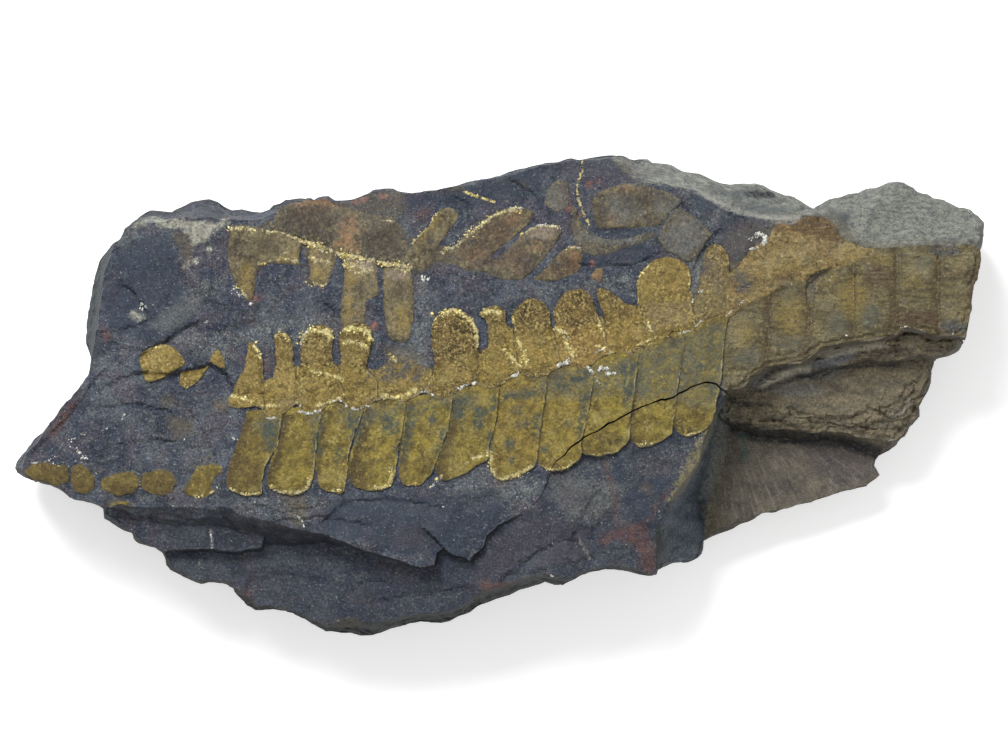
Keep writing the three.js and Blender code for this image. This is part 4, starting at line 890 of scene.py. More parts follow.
# second frond, worn nearly flat: each leaflet's tone from -1, grey, to 1, orange, and its outline; the stalk
# that the hanging leaflets grow from is among them
secondFrondSizes = {"grid": 0.4, "rise": 0.24, "crumple": 0.08, "stalk": 17, "stalkRise": 0.15}
secondLeaflets = [
    (-0.7, [-39, 29, -33, 28.4, -26, 26.8, -17.6, 24.2, -16.2, 27, -17.8, 31.4, -20, 33.8, -24, 34.2,
     -27, 35, -31, 36, -36, 36.6, -41, 35.4, -42.6, 32.6]),
    (-0.6, [-16, 23.4, -11, 24.6, -4, 23, 0.6, 21.6, 4, 21.4, 6, 22.6, 2, 25, -4, 26.8, -10, 28.4,
     -14.8, 27]),
    (0.1, [-50.3, 31, -50.7, 26, -50.3, 23.5, -49.2, 21, -48.5, 19.5, -47, 17.5, -46, 17.2, -45.3, 18.5,
     -45.2, 20, -45, 22.5, -44, 24, -42.5, 24.6, -40.5, 24.3, -38.4, 24.2, -37, 23.9, -36.8, 26.2,
     -36.3, 28.4, -38, 30.2, -43, 31.1, -47, 32, -50, 31.8]),
    (0.2, [-36.3, 28.4, -36, 25, -35.2, 23, -36, 21, -33, 20.2, -32, 20.3, -31.3, 22, -30.3, 24.5,
     -29.8, 27, -33, 28.2]),
    (0, [-29.3, 26.6, -29, 22, -29.5, 18, -29.6, 12.6, -27, 11.9, -24.7, 12.6, -24.5, 17.5, -22.2, 18.5,
     -22.3, 21, -22.5, 25]),
    (-0.1, [-21.9, 24.4, -21.7, 17, -21.2, 12, -20, 9.8, -17, 9.8, -16.5, 10.5, -15.5, 15, -15.6, 19,
     -16, 23.6]),
    (-0.8, [-46, 31.6, -42, 32.8, -40.4, 34.4, -38.5, 35.6, -35, 36, -31, 35.4, -29.8, 33, -30.4, 28.6,
     -31.5, 27.4, -37, 29.2, -42, 30.6]),
    (0.5, [-32.2, 26.8, -31, 30, -30.2, 33, -28.6, 34.2, -26.2, 34, -25, 31, -24.6, 28, -25.4, 25.6]),
    (-0.7, [-25.8, 25.6, -25.2, 29, -23.6, 31.6, -21.6, 32.8, -19.6, 32.8, -18.4, 31, -17.9, 27.6,
     -17.6, 24]),
    (-0.1, [-18.4, 23.8, -17.4, 26.5, -16.5, 28.3, -13.5, 31.5, -11.5, 34.5, -9.5, 35.4, -7.8, 34.5,
     -7.3, 33, -9, 30.5, -11, 28, -11.2, 25.4, -14, 23]),
    (0, [-11, 25.2, -10.3, 26.5, -7.5, 28.8, -4.5, 31.5, -1.5, 33.8, 1, 35, 3.5, 35.4, 5.5, 34.9, 6.8, 34,
     5.5, 31.5, 3, 29.5, 0, 27, -3, 24, -5, 22.8]),
    (-0.5, [-4, 23.4, -0.5, 25.5, 2, 28, 4, 30, 6, 31.5, 8.5, 32.1, 11, 31.9, 12, 30.5, 11, 28.5, 9, 26,
     6.5, 23, 4, 21.2, 0.6, 21.4]),
    (0.25, [6, 21.3, 6.5, 22, 9, 24.5, 11.5, 27, 13.5, 28.3, 15.2, 27.9, 15.9, 26, 15.5, 23.8, 14, 22.3,
     10, 21]),
    (0.4, [16.5, 22, 18, 23.8, 19.6, 24.2, 19.6, 22, 18.8, 20.8]),
    (-1, [8.2, 35.2, 8.8, 38.6, 10.4, 40.2, 12.8, 40.3, 13.3, 38, 13.2, 35, 11, 33.8]),
    (-0.5, [17, 36.5, 18.2, 38, 22, 39.4, 26, 39.7, 30, 38.6, 32.4, 37.6, 34.2, 36.2, 33.6, 35.1,
     32.6, 34.4, 31.4, 33.4, 30, 31.4, 26, 31, 21, 30.8, 18, 31, 17.4, 33]),
    (-1, [29.2, 29.6, 31.2, 33, 33.2, 35.5, 36, 33.9, 38.6, 31.6, 39.9, 30.2, 38.6, 28, 37.4, 25.8,
     35.4, 24.3, 33.2, 25.7, 30.6, 27]),
    (0.2, [-39.2, 30.1, -35.8, 29, -33.2, 28.3, -29.8, 27.1, -25.8, 26.2, -21.8, 25.3, -18.6, 25,
     -15.8, 24.6, -16, 23.3, -18.6, 23.4, -21.8, 23.6, -25.8, 24.7, -29.8, 25.6, -33.2, 26.8, -35.8, 27.5,
     -39, 28.8]),
    (-0.7, [13.4, 35.4, 14.4, 35.6, 15.2, 32.6, 17, 30.5, 19.6, 29.3, 22.6, 29.2, 26, 30, 28.8, 30.8,
     29.4, 30, 27.6, 28.6, 24, 27.4, 20, 26, 17.6, 25.8, 15.4, 26.8, 13.9, 28.6, 13.3, 31]),
]


def makeSecondFrond():
    sizes = secondFrondSizes
    plates = []
    for i, (tone, shape) in enumerate(secondLeaflets):
        def height(x, y, i=i, shape=shape):
            rough = sizes["crumple"] * crumple(x, y, 1.4, 291 + i) + 0.04 * swell(x, y, 0.7, 293)
            rise = sizes["rise"] + 0.04 * (i % 3) + sizes["stalkRise"] * (i == sizes["stalk"])
            return mainBedFace(x, y) + feather(inset(x, y, shape), 0.8, rise) - 0.12 * (i < 2) + rough

        plates.append(plate(f"second{i}", shape, height, sizes["grid"], 0.32, i + 70))
    return joinPlates(plates, "second_frond")


fronds = [make() for make in (makeLowerFrond, makeRightFrond, makeUpperFrond, makeSecondFrond)]
lowerFrond, rightFrond, upperFrond, secondFrond = fronds
print("fronds made,", [(thing.name, len(thing.data.polygons)) for thing in fronds])


# where each colour lies: insets into patches, kept on the vertices for the materials

marks = {
    "rust": [[-43.4, 5.4, 0.6, 1.5, 15], [-47.5, -5.8, 0.6, 0.8], [-84, -7, -80, -1.8, -78.6, -1, -80, -4,
        -83, -8], [23.8, -24, 27.4, -23.6, 27.6, -26, 29, -29, 29.6, -33.2, 27, -33, 25.4, -28, 22, -26.4,
        19.6, -28, 18.6, -27.6, 19.4, -26, 22, -25], [27, -24.6, 29.4, -21, 32, -17.2, 31.8, -17,
        28.8, -21], [-3.6, -34.6, 2, -35, 7, -33.8, 9, -33.8, 2, -36, -3, -36.6], [19.7, -12.4, 20, -12.5,
        21.6, -18, 22.5, -24, 22.1, -24, 21.2, -18.2], [-73, 11, 0.7, 1], [-47, -37.4, 0.7, 1.2],
        [-75.6, 22, 0.4, 2.6, -10], [-37.4, 36.7, 2.6, 0.7, 3], [0.5, -16.2, 1.2, 0.3, -8],
        [-4.2, -12.6, 0.5, 0.4], [9.6, 23.4, 0.8, 0.3, 20], [-14.4, 33.6, 1, 0.5, 40]],
    "salmon": [[12.8, 35.2, 0.8, 1], [15, 33.6, 0.5, 0.4], [16.8, 39.2, 0.6, 0.7], [-23.2, 13, 0.7, 0.8],
        [-45.2, 18, 0.6, 0.7], [-17.4, 12.4, 0.3, 0.5], [18.4, 39.8, 0.4], [-26, 36.4, 1.6, 0.5, 12],
        [-21.6, 37, 0.7, 0.5], [17.4, 24.6, 0.5, 0.7], [-33, 20.2, 0.4, 0.3]],
    # pale haze; the last patch, on the hump's left slope, is painted light on its lit side
    "hazeAndLight": [[10, -15, 16, -16, 20, -15.4, 23, -18, 19, -22.4, 14, -23, 9.6, -19], [-20.6, 9.8, -13.4, 9.6,
        -13.2, 5.6, -19.4, 5.8], [-65, 13, -60, 17.4, -55, 18.6, -57, 14.6, -62, 11.6], [35.4, 25.4,
        38.6, 25, 38.4, 17, 36, 17.4], [-62.6, 34.6, -58.6, 36, -57, 36.4, -57.4, 33.6, -62, 33.2]],
    "plum": [[-20.5, -24.6, -16, -24, -13.4, -25, -13, -27.4, -15.5, -28.6, -19.5, -28.2], [26, -12,
        29, -11, 31.6, -12, 32.4, -14, 30, -15.4, 27, -14.6], [11, -23, 17, -25, 16.6, -28.4, 10, -27.4,
        4.4, -30, 1, -34, -5, -33, 0, -26, 7, -22], [8.6, -28, 13.6, -26.6, 16.8, -29.6, 12, -31.4,
        6, -31.6], [57, -8, 66, -9, 70, -12, 72, -15, 64, -17.6, 58, -13], [-88, -13, -86, -8, -82, -3,
        -78.4, 1.8, -77, 1, -79, -3, -83, -8], [-68, 33.4, -60, 33.4, -60.6, 34.8, -66, 35], [26.4, -11.4,
        31, -11, 32.6, -13.4, 30.4, -15.4, 27, -14.6], [40.4, 25.6, 40.6, 30, 44, 33.2, 49, 31.8, 48.4, 29,
        45.6, 27.4, 43.4, 24.6], [14, -19, 3, 2], [22, 37.4, 30, 41.6, 24, 43.6, 16.4, 43.6, 10, 42.6,
        12, 41]],
    # painted shadow: the dark bands under the sill and under the shelf's edge, and dark spots in hollows
    "shadowAndSpeck": [[41.8, -3.8, 44, -4.8, 47.5, -5.4, 52, -6.1, 57.6, -6.8, 62, -7.2, 65.5, -7.7, 69, -8.6,
        72, -10, 74, -11, 72.4, -12.6, 69, -11.6, 65.5, -10.3, 61, -9.7, 57.6, -9.3, 52, -9, 47.5, -8.5,
        44.6, -7.7, 42.8, -6], [47.9, 2.2, 49.6, 4.2, 51.6, 5.4, 54.6, 6.2, 55.2, 5.6, 52, 4.6, 50, 3],
        [54, 2.7, 57, 4, 61.4, 5.1, 62, 4.7, 58.6, 3.5, 55, 2.5], [41.4, 0.2, 44, -0.4, 46, -1.2, 51, -1.5,
        51, -1.9, 45.4, -2.1, 42.6, -1.2], [28.2, 28.6, 30, 29.5, 31.2, 28.6, 30.8, 27, 29.8, 28], [48, 0.9,
        54, 2.9, 56.4, 4, 59.6, 3.6, 63.4, 5.5, 75, 6, 75, 5.5, 64, 4.9, 59.6, 2.9, 56.6, 3.3, 54, 2.2,
        49, 0.5], [49, 37.6, 3.4, 0.8, -4]],
    "shadow": [[-56.6, 37.2, -54.6, 37.2, -50.6, 34.2, -50.4, 32.6, -57, 33.4], [-76.6, 5, -75, 4, -74, 9,
        -74.6, 12, -77, 12]],
    # painted light: the shelf's plates made pale to lift them out of the ledge's shadow
    "plate": [[48.4, 1.3, 50.4, 3.1, 53.4, 4.7, 56.6, 5.3, 58.2, 5.5, 58.4, 4.5, 56.4, 4.4, 54, 3.3,
        51.4, 2.3, 49.6, 1.4], [59, 7.6, 62, 8.8, 66, 9.2, 72, 9.9, 72.6, 9, 66, 8, 61, 6.8]],
    "block": [[58.4, 5, 59, 7, 61.4, 8.6, 65.4, 9.4, 66.8, 9, 66.4, 7, 63, 5.8], [45.8, 1.4, 47.4, 3,
        49.4, 3.6, 48, 1.6]],
    "ashen": [[41.6, -1.4, 43.4, -3, 42.8, -9, 41.6, -14, 40, -19, 37.4, -19.4, 39, -12, 40.6, -6]],
    "teal": [[45.8, -8, 0.7, 1], [46.2, -10.6, 0.5, 1.6, 8]],
    "crust": [[-64, 32.4, -60.6, 32.8, -57, 32.6, -52.6, 32, -50.4, 33, -50, 32.2, -52.4, 31, -54.4, 28.6,
        -57, 28, -57.6, 30, -59.4, 31.2, -62.4, 31], [-67, 32, 1.5, 0.5, 10], [-58.2, 24.2, 0.5, 0.6],
        [-56.4, 25, 0.6, 0.5], [-54, 27.2, 0.5, 0.7], [-67.4, 14.8, 1.4, 0.7, -20]],
    "ochre": [[-60.4, 30.8, -57.4, 30.4, -56.4, 28, -57.4, 24.6, -58.8, 23.8, -59.2, 27, -61, 29.4],
        [-40.3, -18.6, -36, -18.6, -35.6, -21, -36.4, -24, -38, -24.4, -39, -22, -40, -20.6], [-30.6, -41.8,
        -26.6, -41.4, -26, -43.4, -30.4, -44.4], [-62, -3.6, -57, -4, -56.4, -7, -60.6, -8.4],
        [-61.6, -1.2, 1.5, 1], [26.2, -16.4, 28.6, -16.6, 28.4, -18.2, 26.6, -17.8], [37.8, -20.6, 41, -21,
        42, -26, 39.4, -27], [32, -19.6, 35, -14, 37, -11, 37.4, -13, 34, -18.6], [-53.4, -0.8, -50, -0.6,
        -50.4, -3, -53, -3], [-8, 38.6, 1.6, 0.6, 10], [-70.5, -19.8, 2.4, 0.6, -8], [65.4, 25.2, 1.6, 0.7],
        [71.6, 25.4, 1.7, 0.6], [77, 21.6, 1.4, 0.7], [-55.4, -12.4, 2.6, 0.4, 30], [21.4, 44.3, 22.8, 42.6,
        24.4, 40.8, 25, 41.4, 23, 44.4], [4.6, 39.2, 1, 0.4, -35], [-22.6, 9.4, -18.6, 9, -14.4, 7.6,
        -14, 4.6, -20, 5]],
    "blue": [[14.6, 24, 15, 26.6, 18.6, 26.4, 23, 27.6, 27, 28.6, 28.4, 27, 28, 25.4, 22, 24.4],
        [17.6, 29.8, 21, 30.7, 25.6, 30.9, 27, 30.3, 22, 29.2, 18.4, 29.2], [36, 26, 40, 31.6, 41.6, 34.4,
        46, 33.4, 50.6, 32.6, 47, 28, 44, 24, 42.6, 23, 43.6, 26, 41, 29.4, 38.4, 29], [-11, -26, -6, -26.4,
        -6, -30, -10.4, -31.6, -15.6, -31.2, -12.4, -29], [23.4, -17.4, 28, -17.8, 29, -22.4, 25, -23,
        22.8, -20.6], [33, -18, 37, -13, 40, -8, 38.4, -20, 37, -29, 31, -27], [-70, 27, -66, 30, -61, 28,
        -59, 20, -56, 14, -66, 10, -73, 12, -73.4, 22], [30, -17, 2.4, 1.6, 20], [22.6, -14, 1.6, 2.4],
        [83, 28.5, 2.4, 0.7], [88, 28.5, 0.8, 0.5], [4, 40, 12, 42, 14, 44, 6, 42.6], [57.4, 17.4,
        57.3, 20.4, 58, 22, 60.6, 23.4, 61, 22.9, 58.9, 21.4, 58.4, 20, 58.4, 17.4], [34.6, 37.8, 38, 36.6,
        40.4, 34.6, 38.4, 33, 35, 35.6], [-17, 37, -6, 38.6, 8, 42, 8, 37, 4, 37.4, -4, 35, -12, 36,
        -18, 34], [-32, -19, -12, -18.6, 0, -17.4, 2, -22, -4, -27, -10, -28, -16, -30, -32, -25]],
    "dusty": [[-24, 3, -15.6, 9.6, -16, 14, -15.4, 22, -13, 22, -13, 17, -14, 8, -20, 3], [6, 20, 14, 21,
        24, 22.6, 25, 19, 14, 20, 8, 18], [11, -13, 24.6, -12, 32, -9, 37, -8, 40, -6, 41.4, -2, 40, -12,
        34, -18, 27, -14, 24, -18, 18, -24, 10, -24, 12, -18], [-66.2, 14, -58, 19.4, -50, 23.4, -50.6, 21,
        -58, 16, -64, 12], [13, 28.6, 18, 29.8, 28, 29.6, 30, 28.2, 24, 27.8, 16, 26], [-2, -13, 8, -16,
        6, -20, -6, -21, -10, -17], [31, 41, 38, 36, 44, 33.4, 46, 30, 44, 26, 38, 29, 34, 37], [-52, 10,
        -45, 13, -34, 15, -24, 15, -23, 11, -36, 9, -46, 9], [-61, 11, -50, 12, -50, 6.4, -57, 7.4],
        [-50, -19, -36, -19, -30, -20, -38, -22.8, -48, -22], [34.6, 25, 38, 26, 39, 22, 36.6, 18, 35, 20],
        [-18, 9, -13, 10, -13, 5, -18, 6]],
    "pale": [[36, 37.8, 38.6, 36.9, 40.8, 35.1, 44.4, 33.7, 49, 32.9, 51.4, 31.9, 55, 32, 56.6, 33,
        56, 33.6, 50, 33.4, 45, 34.5, 41.4, 36, 38.4, 37.7], [14.6, -26.6, 15.2, -26.8, 17.2, -30.4,
        16.8, -30.8], [-54, -25, -53.5, -25, -53.2, -28.4, -53.7, -28.4], [-56.6, -31.8, -56.3, -31.8,
        -55.3, -30.2, -55.7, -30.2], [75, 12.2, 75.8, 12, 79, 11.5, 79.2, 12, 76, 12.6], [76.7, -0.4,
        77.1, -0.3, 76.9, -2.2, 75.6, -3.6, 72.8, -4.2, 72.7, -3.8, 75, -3.2, 76.4, -2], [71.8, -8.2,
        74.4, -8.2, 74.4, -8.6, 71.8, -8.5]],
    "amber": [[-38.4, 35.4, -37, 37.8, -33, 38.4, -29, 37.6, -28.4, 35.8, -33, 35]],
    "film": [[41.4, 25.6, 42, 30, 46, 32.6, 50.4, 31.8, 49.6, 29.4, 46, 27, 43.4, 24], [-29, 33.6,
        -27.6, 37, -22, 38.4, -17.6, 38, -17, 34, -20, 32, -25, 32.4], [41, 14, 41.4, 7, 40.8, 1, 44, -0.6,
        50, 3.6, 58, 6, 66, 9, 74, 10, 82, 9.6, 88, 9.6, 90, 18, 92, 27, 88, 29, 68, 28.4, 62.6, 33.8,
        55, 33.9, 50, 32, 46, 28, 43.4, 24, 40, 21], [-39, 29, -40, 34.6, -36, 37, -30, 36.4, -26, 34.4,
        -18.6, 33.4, -16.6, 29, -8, 27, -2, 24, -4, 22.6, -9, 25, -15, 22.6, -22, 24, -30, 26, -37, 27.6]],
    "shade": [[44, 34.8, 49, 33.8, 54, 33.9, 54.4, 35, 50, 35.6, 45, 35.8], [39, 39, 46, 38.4, 51, 37.6,
        52, 36.4, 44, 36.6, 40, 37.6], [-57, 37, -51, 36.4, -50.4, 33.6, -56, 33.6], [61, 35, 66, 34.6,
        64.6, 31.4, 62, 33]],
}
veins = [
    [15.6, 44, 15.3, 41.5, 14.8, 40, 14.5, 38.5, 14.8, 36.5, 15.5, 34.5, 16.3, 33, 16.7, 31.5], [-6.5, 38,
    -4, 37, -0.5, 35.9],
]
# thin dark lines: hairline cracks, and painted shadow along the foot of small steps
cracksAndShadowLines = [
    [6.4, -20, 4.4, -21.6, 1.7, -23.3, -0.8, -24.2], [2.8, 39.5, 4.2, 38.9, 5.8, 37.8], [-9.6, 37.6,
    -7.6, 36.8, -6.4, 36], [-69, 21, -67.6, 19, -66.4, 17], [15.4, 24.3, 19, 24, 24, 24.3, 29, 25.8],
    [-33, 17.2, -30.4, 16, -31, 14.8], [-63.4, -29.6, -58, -28.6, -52, -29.4, -44, -28.8], [1.5, -33,
    3.4, -31, 6, -29.6, 10, -27.4, 14, -26.8, 16.8, -29.4], [45, 16, 49.7, 18.2, 52.2, 19.5], [42.4, 13.9,
    45.2, 16.2], [68.2, 2.7, 65.8, -2.9], [73.8, 4.3, 71.4, -1.3], [78.6, 5.1, 77, -1.2], [46.6, 1.2,
    50, 3.5, 53, 5.1, 55.7, 6], [48.9, 1.3, 52.6, 2.3, 56.4, 3.6, 61, 3.9, 65.4, 5.7, 71.2, 6.2, 78.7, 6.5],
    [-13, -25.6, -11.7, -27, -10.2, -28.5], [41.4, -3, 38.5, -10.7, 34.8, -18, 31.2, -20.4],
]
# how wide, and along which line, the bright grains lie on each frond
upperGold = [
    (1, [-46, 10, -45, 8.5, -44.2, 6.8]), (0.8, [-50.4, 0, -48, -0.4, -46, -1]), (0.9, [-41.8, 11.2,
    -40.2, 11.6, -38.8, 10.4]), (1.7, [-37, 9.8, -36.2, 11.8, -33.6, 12.4, -31.6, 11.6, -31.4, 10.6]),
    (0.9, [-35, 4.6, -32, 4, -29, 2.8]), (1.6, [-29.2, 12.2, -27, 12.6, -24.4, 12.2, -24, 10.6]),
    (1, [-29.2, 9.8, -26.6, 10, -24.2, 8.6]), (0.8, [-44, -1.8, -41, -2]), (1.3, [-22, -0.2, -18.8, -0.2,
    -15.2, 1]), (0.8, [-34, -2, -31, -1, -28.6, 0.2]), (1.4, [-21.8, 9, -19.4, 6.6]), (1.3, [-12.9, 13.4,
    -11.4, 15, -8.8, 15.9, -6.6, 15.2, -5, 13.8, -4.2, 12.2, -4, 9.4]), (1.3, [-3, 15.4, -1.8, 15.8,
    0.2, 15.4]), (0.9, [0.9, 8.6, 2.4, 7, 4, 5.4]), (0.7, [2.6, 15, 3, 12.2]), (1, [3.2, 10.4, 4.6, 8.2,
    5.2, 5.8]), (0.6, [9.4, 13.6, 10.2, 12]), (1.3, [10.6, 12.6, 12.2, 11, 12.8, 9, 13.6, 7.6]),
    (0.5, [10.6, 15.6, 11.4, 13.6]), (1.2, [18.6, 9.2, 20.8, 7.8]), (0.7, [18.4, 14.6, 19.6, 11]),
    (1, [27.2, 14, 28.6, 11.6]), (0.6, [25.4, 9.2, 29.4, 11]), (0.4, [25.8, 17, 26, 22, 28, 24.4]),
    (0.5, [35.2, 23, 35.6, 19]), (0.6, [-65.8, 8.4, -62, 9.4]),
]
secondGold = [
    (1.1, [-50, 31, -47, 31.2, -45, 30.6]), (1.1, [-48.8, 20.6, -47.2, 18.4]), (0.8, [-44, 30.6, -41, 30.6,
    -39, 29.8]), (0.7, veins[0]), (0.5, veins[1]), (0.7, [-39.6, 26.6, -37.4, 25]), (0.9, [-38.6, 29.5,
    -33, 27.6, -29.8, 26.4, -25.8, 25.5, -21.8, 24.5, -16.3, 23.9]), (1.9, [-36.2, 28.9, -33, 27.6]),
    (2.1, [-29.6, 26.4, -27, 25.9, -25, 25.4]), (1.9, [-21.8, 24.6, -19.4, 24.3, -16.9, 23.8]),
    (1.2, [-34.8, 25.6, -31.8, 24.6]), (1.2, [-29.4, 24.6, -26.4, 24, -23, 23.4]), (0.9, [-45, 24.4,
    -40, 25.6, -37.6, 24.8]), (0.6, [-36, 21.2, -33, 20.6]), (0.8, [-29.4, 26.5, -26, 26, -23, 25.2]),
    (1.1, [-28.6, 24, -25, 22.6]), (0.8, [-21.6, 24.4, -19, 24.3, -16.6, 23.6]), (0.5, [-23.4, 32,
    -21.4, 32.6, -19.4, 32.4]), (0.6, [-16.2, 28.4, -13.5, 31.3, -11.5, 34]), (1.3, [-9, 27.4, -4.5, 31.1,
    -1.5, 33.2, 1, 34.4, 4, 34.8]), (0.8, [4.4, 30, 6.2, 31.2, 8.5, 31.7, 11, 31.4]), (0.5, [12.4, 27.2,
    14.4, 27.8, 15.2, 27.2]), (0.8, [-36.2, 21, -33, 20.3, -31.6, 21]), (0.9, [-10.6, 26.6, -7.4, 29.4,
    -4, 32.4]),
]
lowerGold = [
    (0.6, [-50, -17.2, -47.3, -18.4, -44.4, -18]), (0.9, [-42.3, -17, -41, -17.8, -38.2, -18.2, -36, -17.4,
    -34.8, -14.8]), (0.7, [-31, -17.8, -28.6, -17.4]), (0.8, [-23.4, -17.2, -21, -17, -20, -15.6,
    -19.8, -13]), (0.4, [-17, -16.6, -14.8, -16.4]), (0.8, [-12.6, -16.6, -10.6, -14.9]), (1, [-6, -12.6,
    -4.4, -11.6, -2.6, -11]), (1.3, [-1.6, -10.6, -1.5, -13.4, -0.7, -14.9, 1, -15.3, 4, -14.5, 6, -13.2]),
    (0.6, [7.8, -12.9, 9.4, -13.8, 12, -13.6, 14.4, -12.1]), (0.3, [15.9, -10.6, 18, -11, 22, -10.3]),
    (0.4, [25, -8.8, 27, -9.2, 29.4, -8.6]), (0.5, [33, -6.6, 35, -7.4, 38.2, -6.4]), (0.7, [-56.8, -18.7,
    -54.4, -18.7, -53, -17.6]), (0.4, [-64.6, -18.4, -61.4, -18.2]), (0.4, [-52, -17, -51.6, -13.4]),
]
# how far each lower leaflet's left side turns brown, as painted shade where it lies under its neighbour
lowerBrowns = [1, 0.95, 0.85, 0.95, 0.85, 0.9, 0.7, 0.75, 0.75, 0.85, 0.8]
# the tone of each leaflet from -1, cool, to 1, warm, and how grainy the upper ones are
lowerTones = [-0.65, -0.25, -0.2, -0.1, 0, -0.3, 0.4, 0.3, -0.1, -0.2, -0.4, -0.6, -0.9, -0.8, -0.9, -0.8, 0]
upperTones = [0.1, 0, 0, -0.2, -0.3, 0, 0.2, 0.5, 0.3, 0, -0.8, 0, 0, 0]
upperCoarse = [0.4, 0.7, 0.8, 0.75, 1, 0.9, 0.9, 0.9, 0.75, 0.35, 0.6, 0.1, 0.1, 0.3]
slopeMarks = {
    # paler dust on the ledge, also painted light in its shaded hollow
    "ledgeDustAndLight": [[45, 4, 49, 6, 57, 6, 64, 8.6, 66.4, 8, 62, 5, 55, 3.4, 49, 1], [60, 4.4, 5, 1.4, 12],
        [56, 1, 5, 1.4]],
    "slopeLip": [[31.4, -20.3, 34.7, -17.9, 36.6, -14.4, 38.3, -10.7, 40, -6.8, 41.4, -2.6, 40.4, -2,
        38, -6.4, 35.6, -10.7, 33.6, -14.8, 31.6, -18.6]],
    "slope": [[33, -17.6, 38, -9, 41.6, -1, 43, -3, 41, -12, 40, -30, 31.4, -33, 29.8, -30.6, 31.2, -28.2,
        29.4, -25.6, 31, -22.4]],
}
lowerMarks = {
    "stain": [[-43.6, -4.6, -40.8, -5, -41.2, -8, -42, -10.6, -43.4, -10.4, -43.8, -7], [-34.6, -7,
        -33.2, -6, -33.3, -11, -34.8, -11.6, -35, -9], [-28.6, -3.6, -25, -3.4, -25.4, -7, -26.6, -9.8,
        -28.2, -8], [-30, -11, 0.6, 1.6, -15], [-21.4, -4, -19.2, -3.8, -18.4, -7, -20.4, -7.4, -22, -6.4],
        [-18.6, -10.5, 0.6, 2, 5], [-16.6, -2, -12, -2, -15, -4, -16.4, -8, -17.4, -12, -17.8, -8],
        [-12.4, -4.4, 0.8, 1.6, -10], [-8.6, -0.6, -4.8, -0.6, -6.4, -3, -6.6, -6.6, -8.4, -4], [-10.6, -6,
        -9.2, -5, -10.4, -10, -12, -12], [-4.4, -2.4, -2, -2.6, -3, -5.6, -4.6, -7.4, -5, -5],
        [-1.2, -1.8, 0.7, 2.2, -10], [0.6, 0.8, 5, 1.2, 8.2, 1.4, 7.4, -0.6, 3, -0.4, 1, -1],
        [3.4, -2.6, 1.2, 0.8], [4.6, -5, 1.6, 0.8, 20], [2, -9.2, 1.1, 1.2], [6.4, -3.4, 8, -3, 7.4, -8,
        6.4, -8], [2.4, -12, 0.7, 0.6], [-1.6, -8.4, 0.6, 2, 0], [11.4, 1.4, 0.9, 0.7],
        [13, -5.2, 0.6, 0.5], [15, 0.4, 16.8, 0.6, 16.2, -3.6, 15, -8.6, 14.4, -6, 15.2, -3],
        [8.4, -10, 0.5, 0.7], [23, 6, 25.4, 6, 24.8, 0, 23.8, -3, 23.2, 0], [15.4, 3.6, 2.6, 1, 20],
        [24, 5, 2.4, 1, 15], [37.6, 5.4, 1, 0.8], [39.8, 1, 0.6, 1.4]],
    "grey": [[6, 4.6, 16, 5, 24, 7.4, 33, 10.6, 42, 14, 42, 0, 37, 1, 33.6, -1, 30, 0, 26, -0.6, 22, 0.4,
        14, -0.6, 8, 0.4], [-30, -2.4, -20, -2, -10, 0, -4, 1, -4, -3, -11, -1.6, -17, -2.6, -22, -5,
        -30, -5], [-43, -5.6, 2.6, 1.6], [-34, -5, 1.4, 2], [38, -1, 3, 1.4]],
    "burnt": [[-47.4, -14.8, 3.6, 3.6, 20], [-25.6, -14.6, 2, 2.4], [-13.4, -13.6, 2.2, 2.4, 20],
        [20, -8.4, 3.6, 1.8], [-77, -16.6, 1.8, 2], [-70, -17.4, 3, 1.4], [-63.4, -17, 2.6, 1.4],
        [-83.6, -15.6, 3, 1.2], [-53.4, -15.8, 1, 2.6], [36.6, -3.6, 1.4, 1.8]],
}
rightMarks = {
    "stain": [rightHole, [84.6, 13, 2.6, 1.4], [45.6, 20, 1.6, 0.7, 30], [83, 27, 3, 1]],
    "light": [[64.6, 27, 3, 1.8, 10], [48, 25, 56, 29, 61, 28.4, 56, 25, 50, 22], [44.6, 12, 1.8, 3.4],
        [77.6, 24, 2.2, 2], [85.6, 25, 2.4, 1.6], [85, 16, 2, 2.4], [58.4, 10.4, 2.4, 1]],
    "grey": [[46, 7.4, 2.6, 2], [54, 9.6, 3, 1.6], [63, 13, 2, 2.6], [69, 15, 2, 2.6], [45.4, 22, 2, 2.2],
        [53.6, 19, 1, 1.6], [79, 25, 1.8, 1]],
    "yellow": [[65.6, 26.2, 2, 1.2, 30], [53, 24, 4, 1.6, 25], [61.4, 22, 1.4, 0.8, 30],
        [77, 21.4, 1.6, 0.8, -10], [54, 15, 2.6, 4], [66, 18, 3, 4], [45.6, 11, 2, 3], [71, 25.4, 2, 0.8]],
    "dark": [[54, 33, 62, 33.4, 63, 30.4, 65, 28.4, 62, 27.8, 57, 29.6, 53.4, 31], [52.6, 31.4, 1.2, 0.8],
        [45, 20.6, 2, 1.6], [53, 22, 2.4, 0.9, 20], [78, 14.4, 5, 1.6], [88, 20, 1, 5], [70, 22, 2, 3]],
}
upperMarks = {
    "worn": [[-22.6, 5, -21, 7.6, -13, 8, -12.6, 5, -16, 3.4, -20, 3], [-15.4, 3.6, 1.4, 1],
        [-20.6, 3.4, 1.4, 1], [-24.2, 7, -22.6, 5.4, -24.6, 3], [38, 24, 1.6, 2], [36.4, 20, 1, 2]],
    "light": [[26, 17, 26, 20, 27, 24, 33, 25.4, 35.6, 22, 35, 17], [-41, 5, 3, 5.6], [-46.6, 2.4, 3, 5],
        [-1, 9, 1.6, 4], [5.6, 10, 2.4, 3], [-62.4, 6.4, 3.4, 2.4], [-34, 8, 2, 1.6], [-27, 8, 2, 2],
        [-9, 4.4, 2, 2]],
    "pink": [[27, 11.6, 36, 13.4, 36, 17.8, 27, 17], [40, 23, 1.8, 4], [-22.6, -0.6, 1.8, 0.7, 15],
        [-14.6, 0.9, 1.2, 0.4, 25], [-39.6, -1.4, 1.6, 0.8, 20]],
}
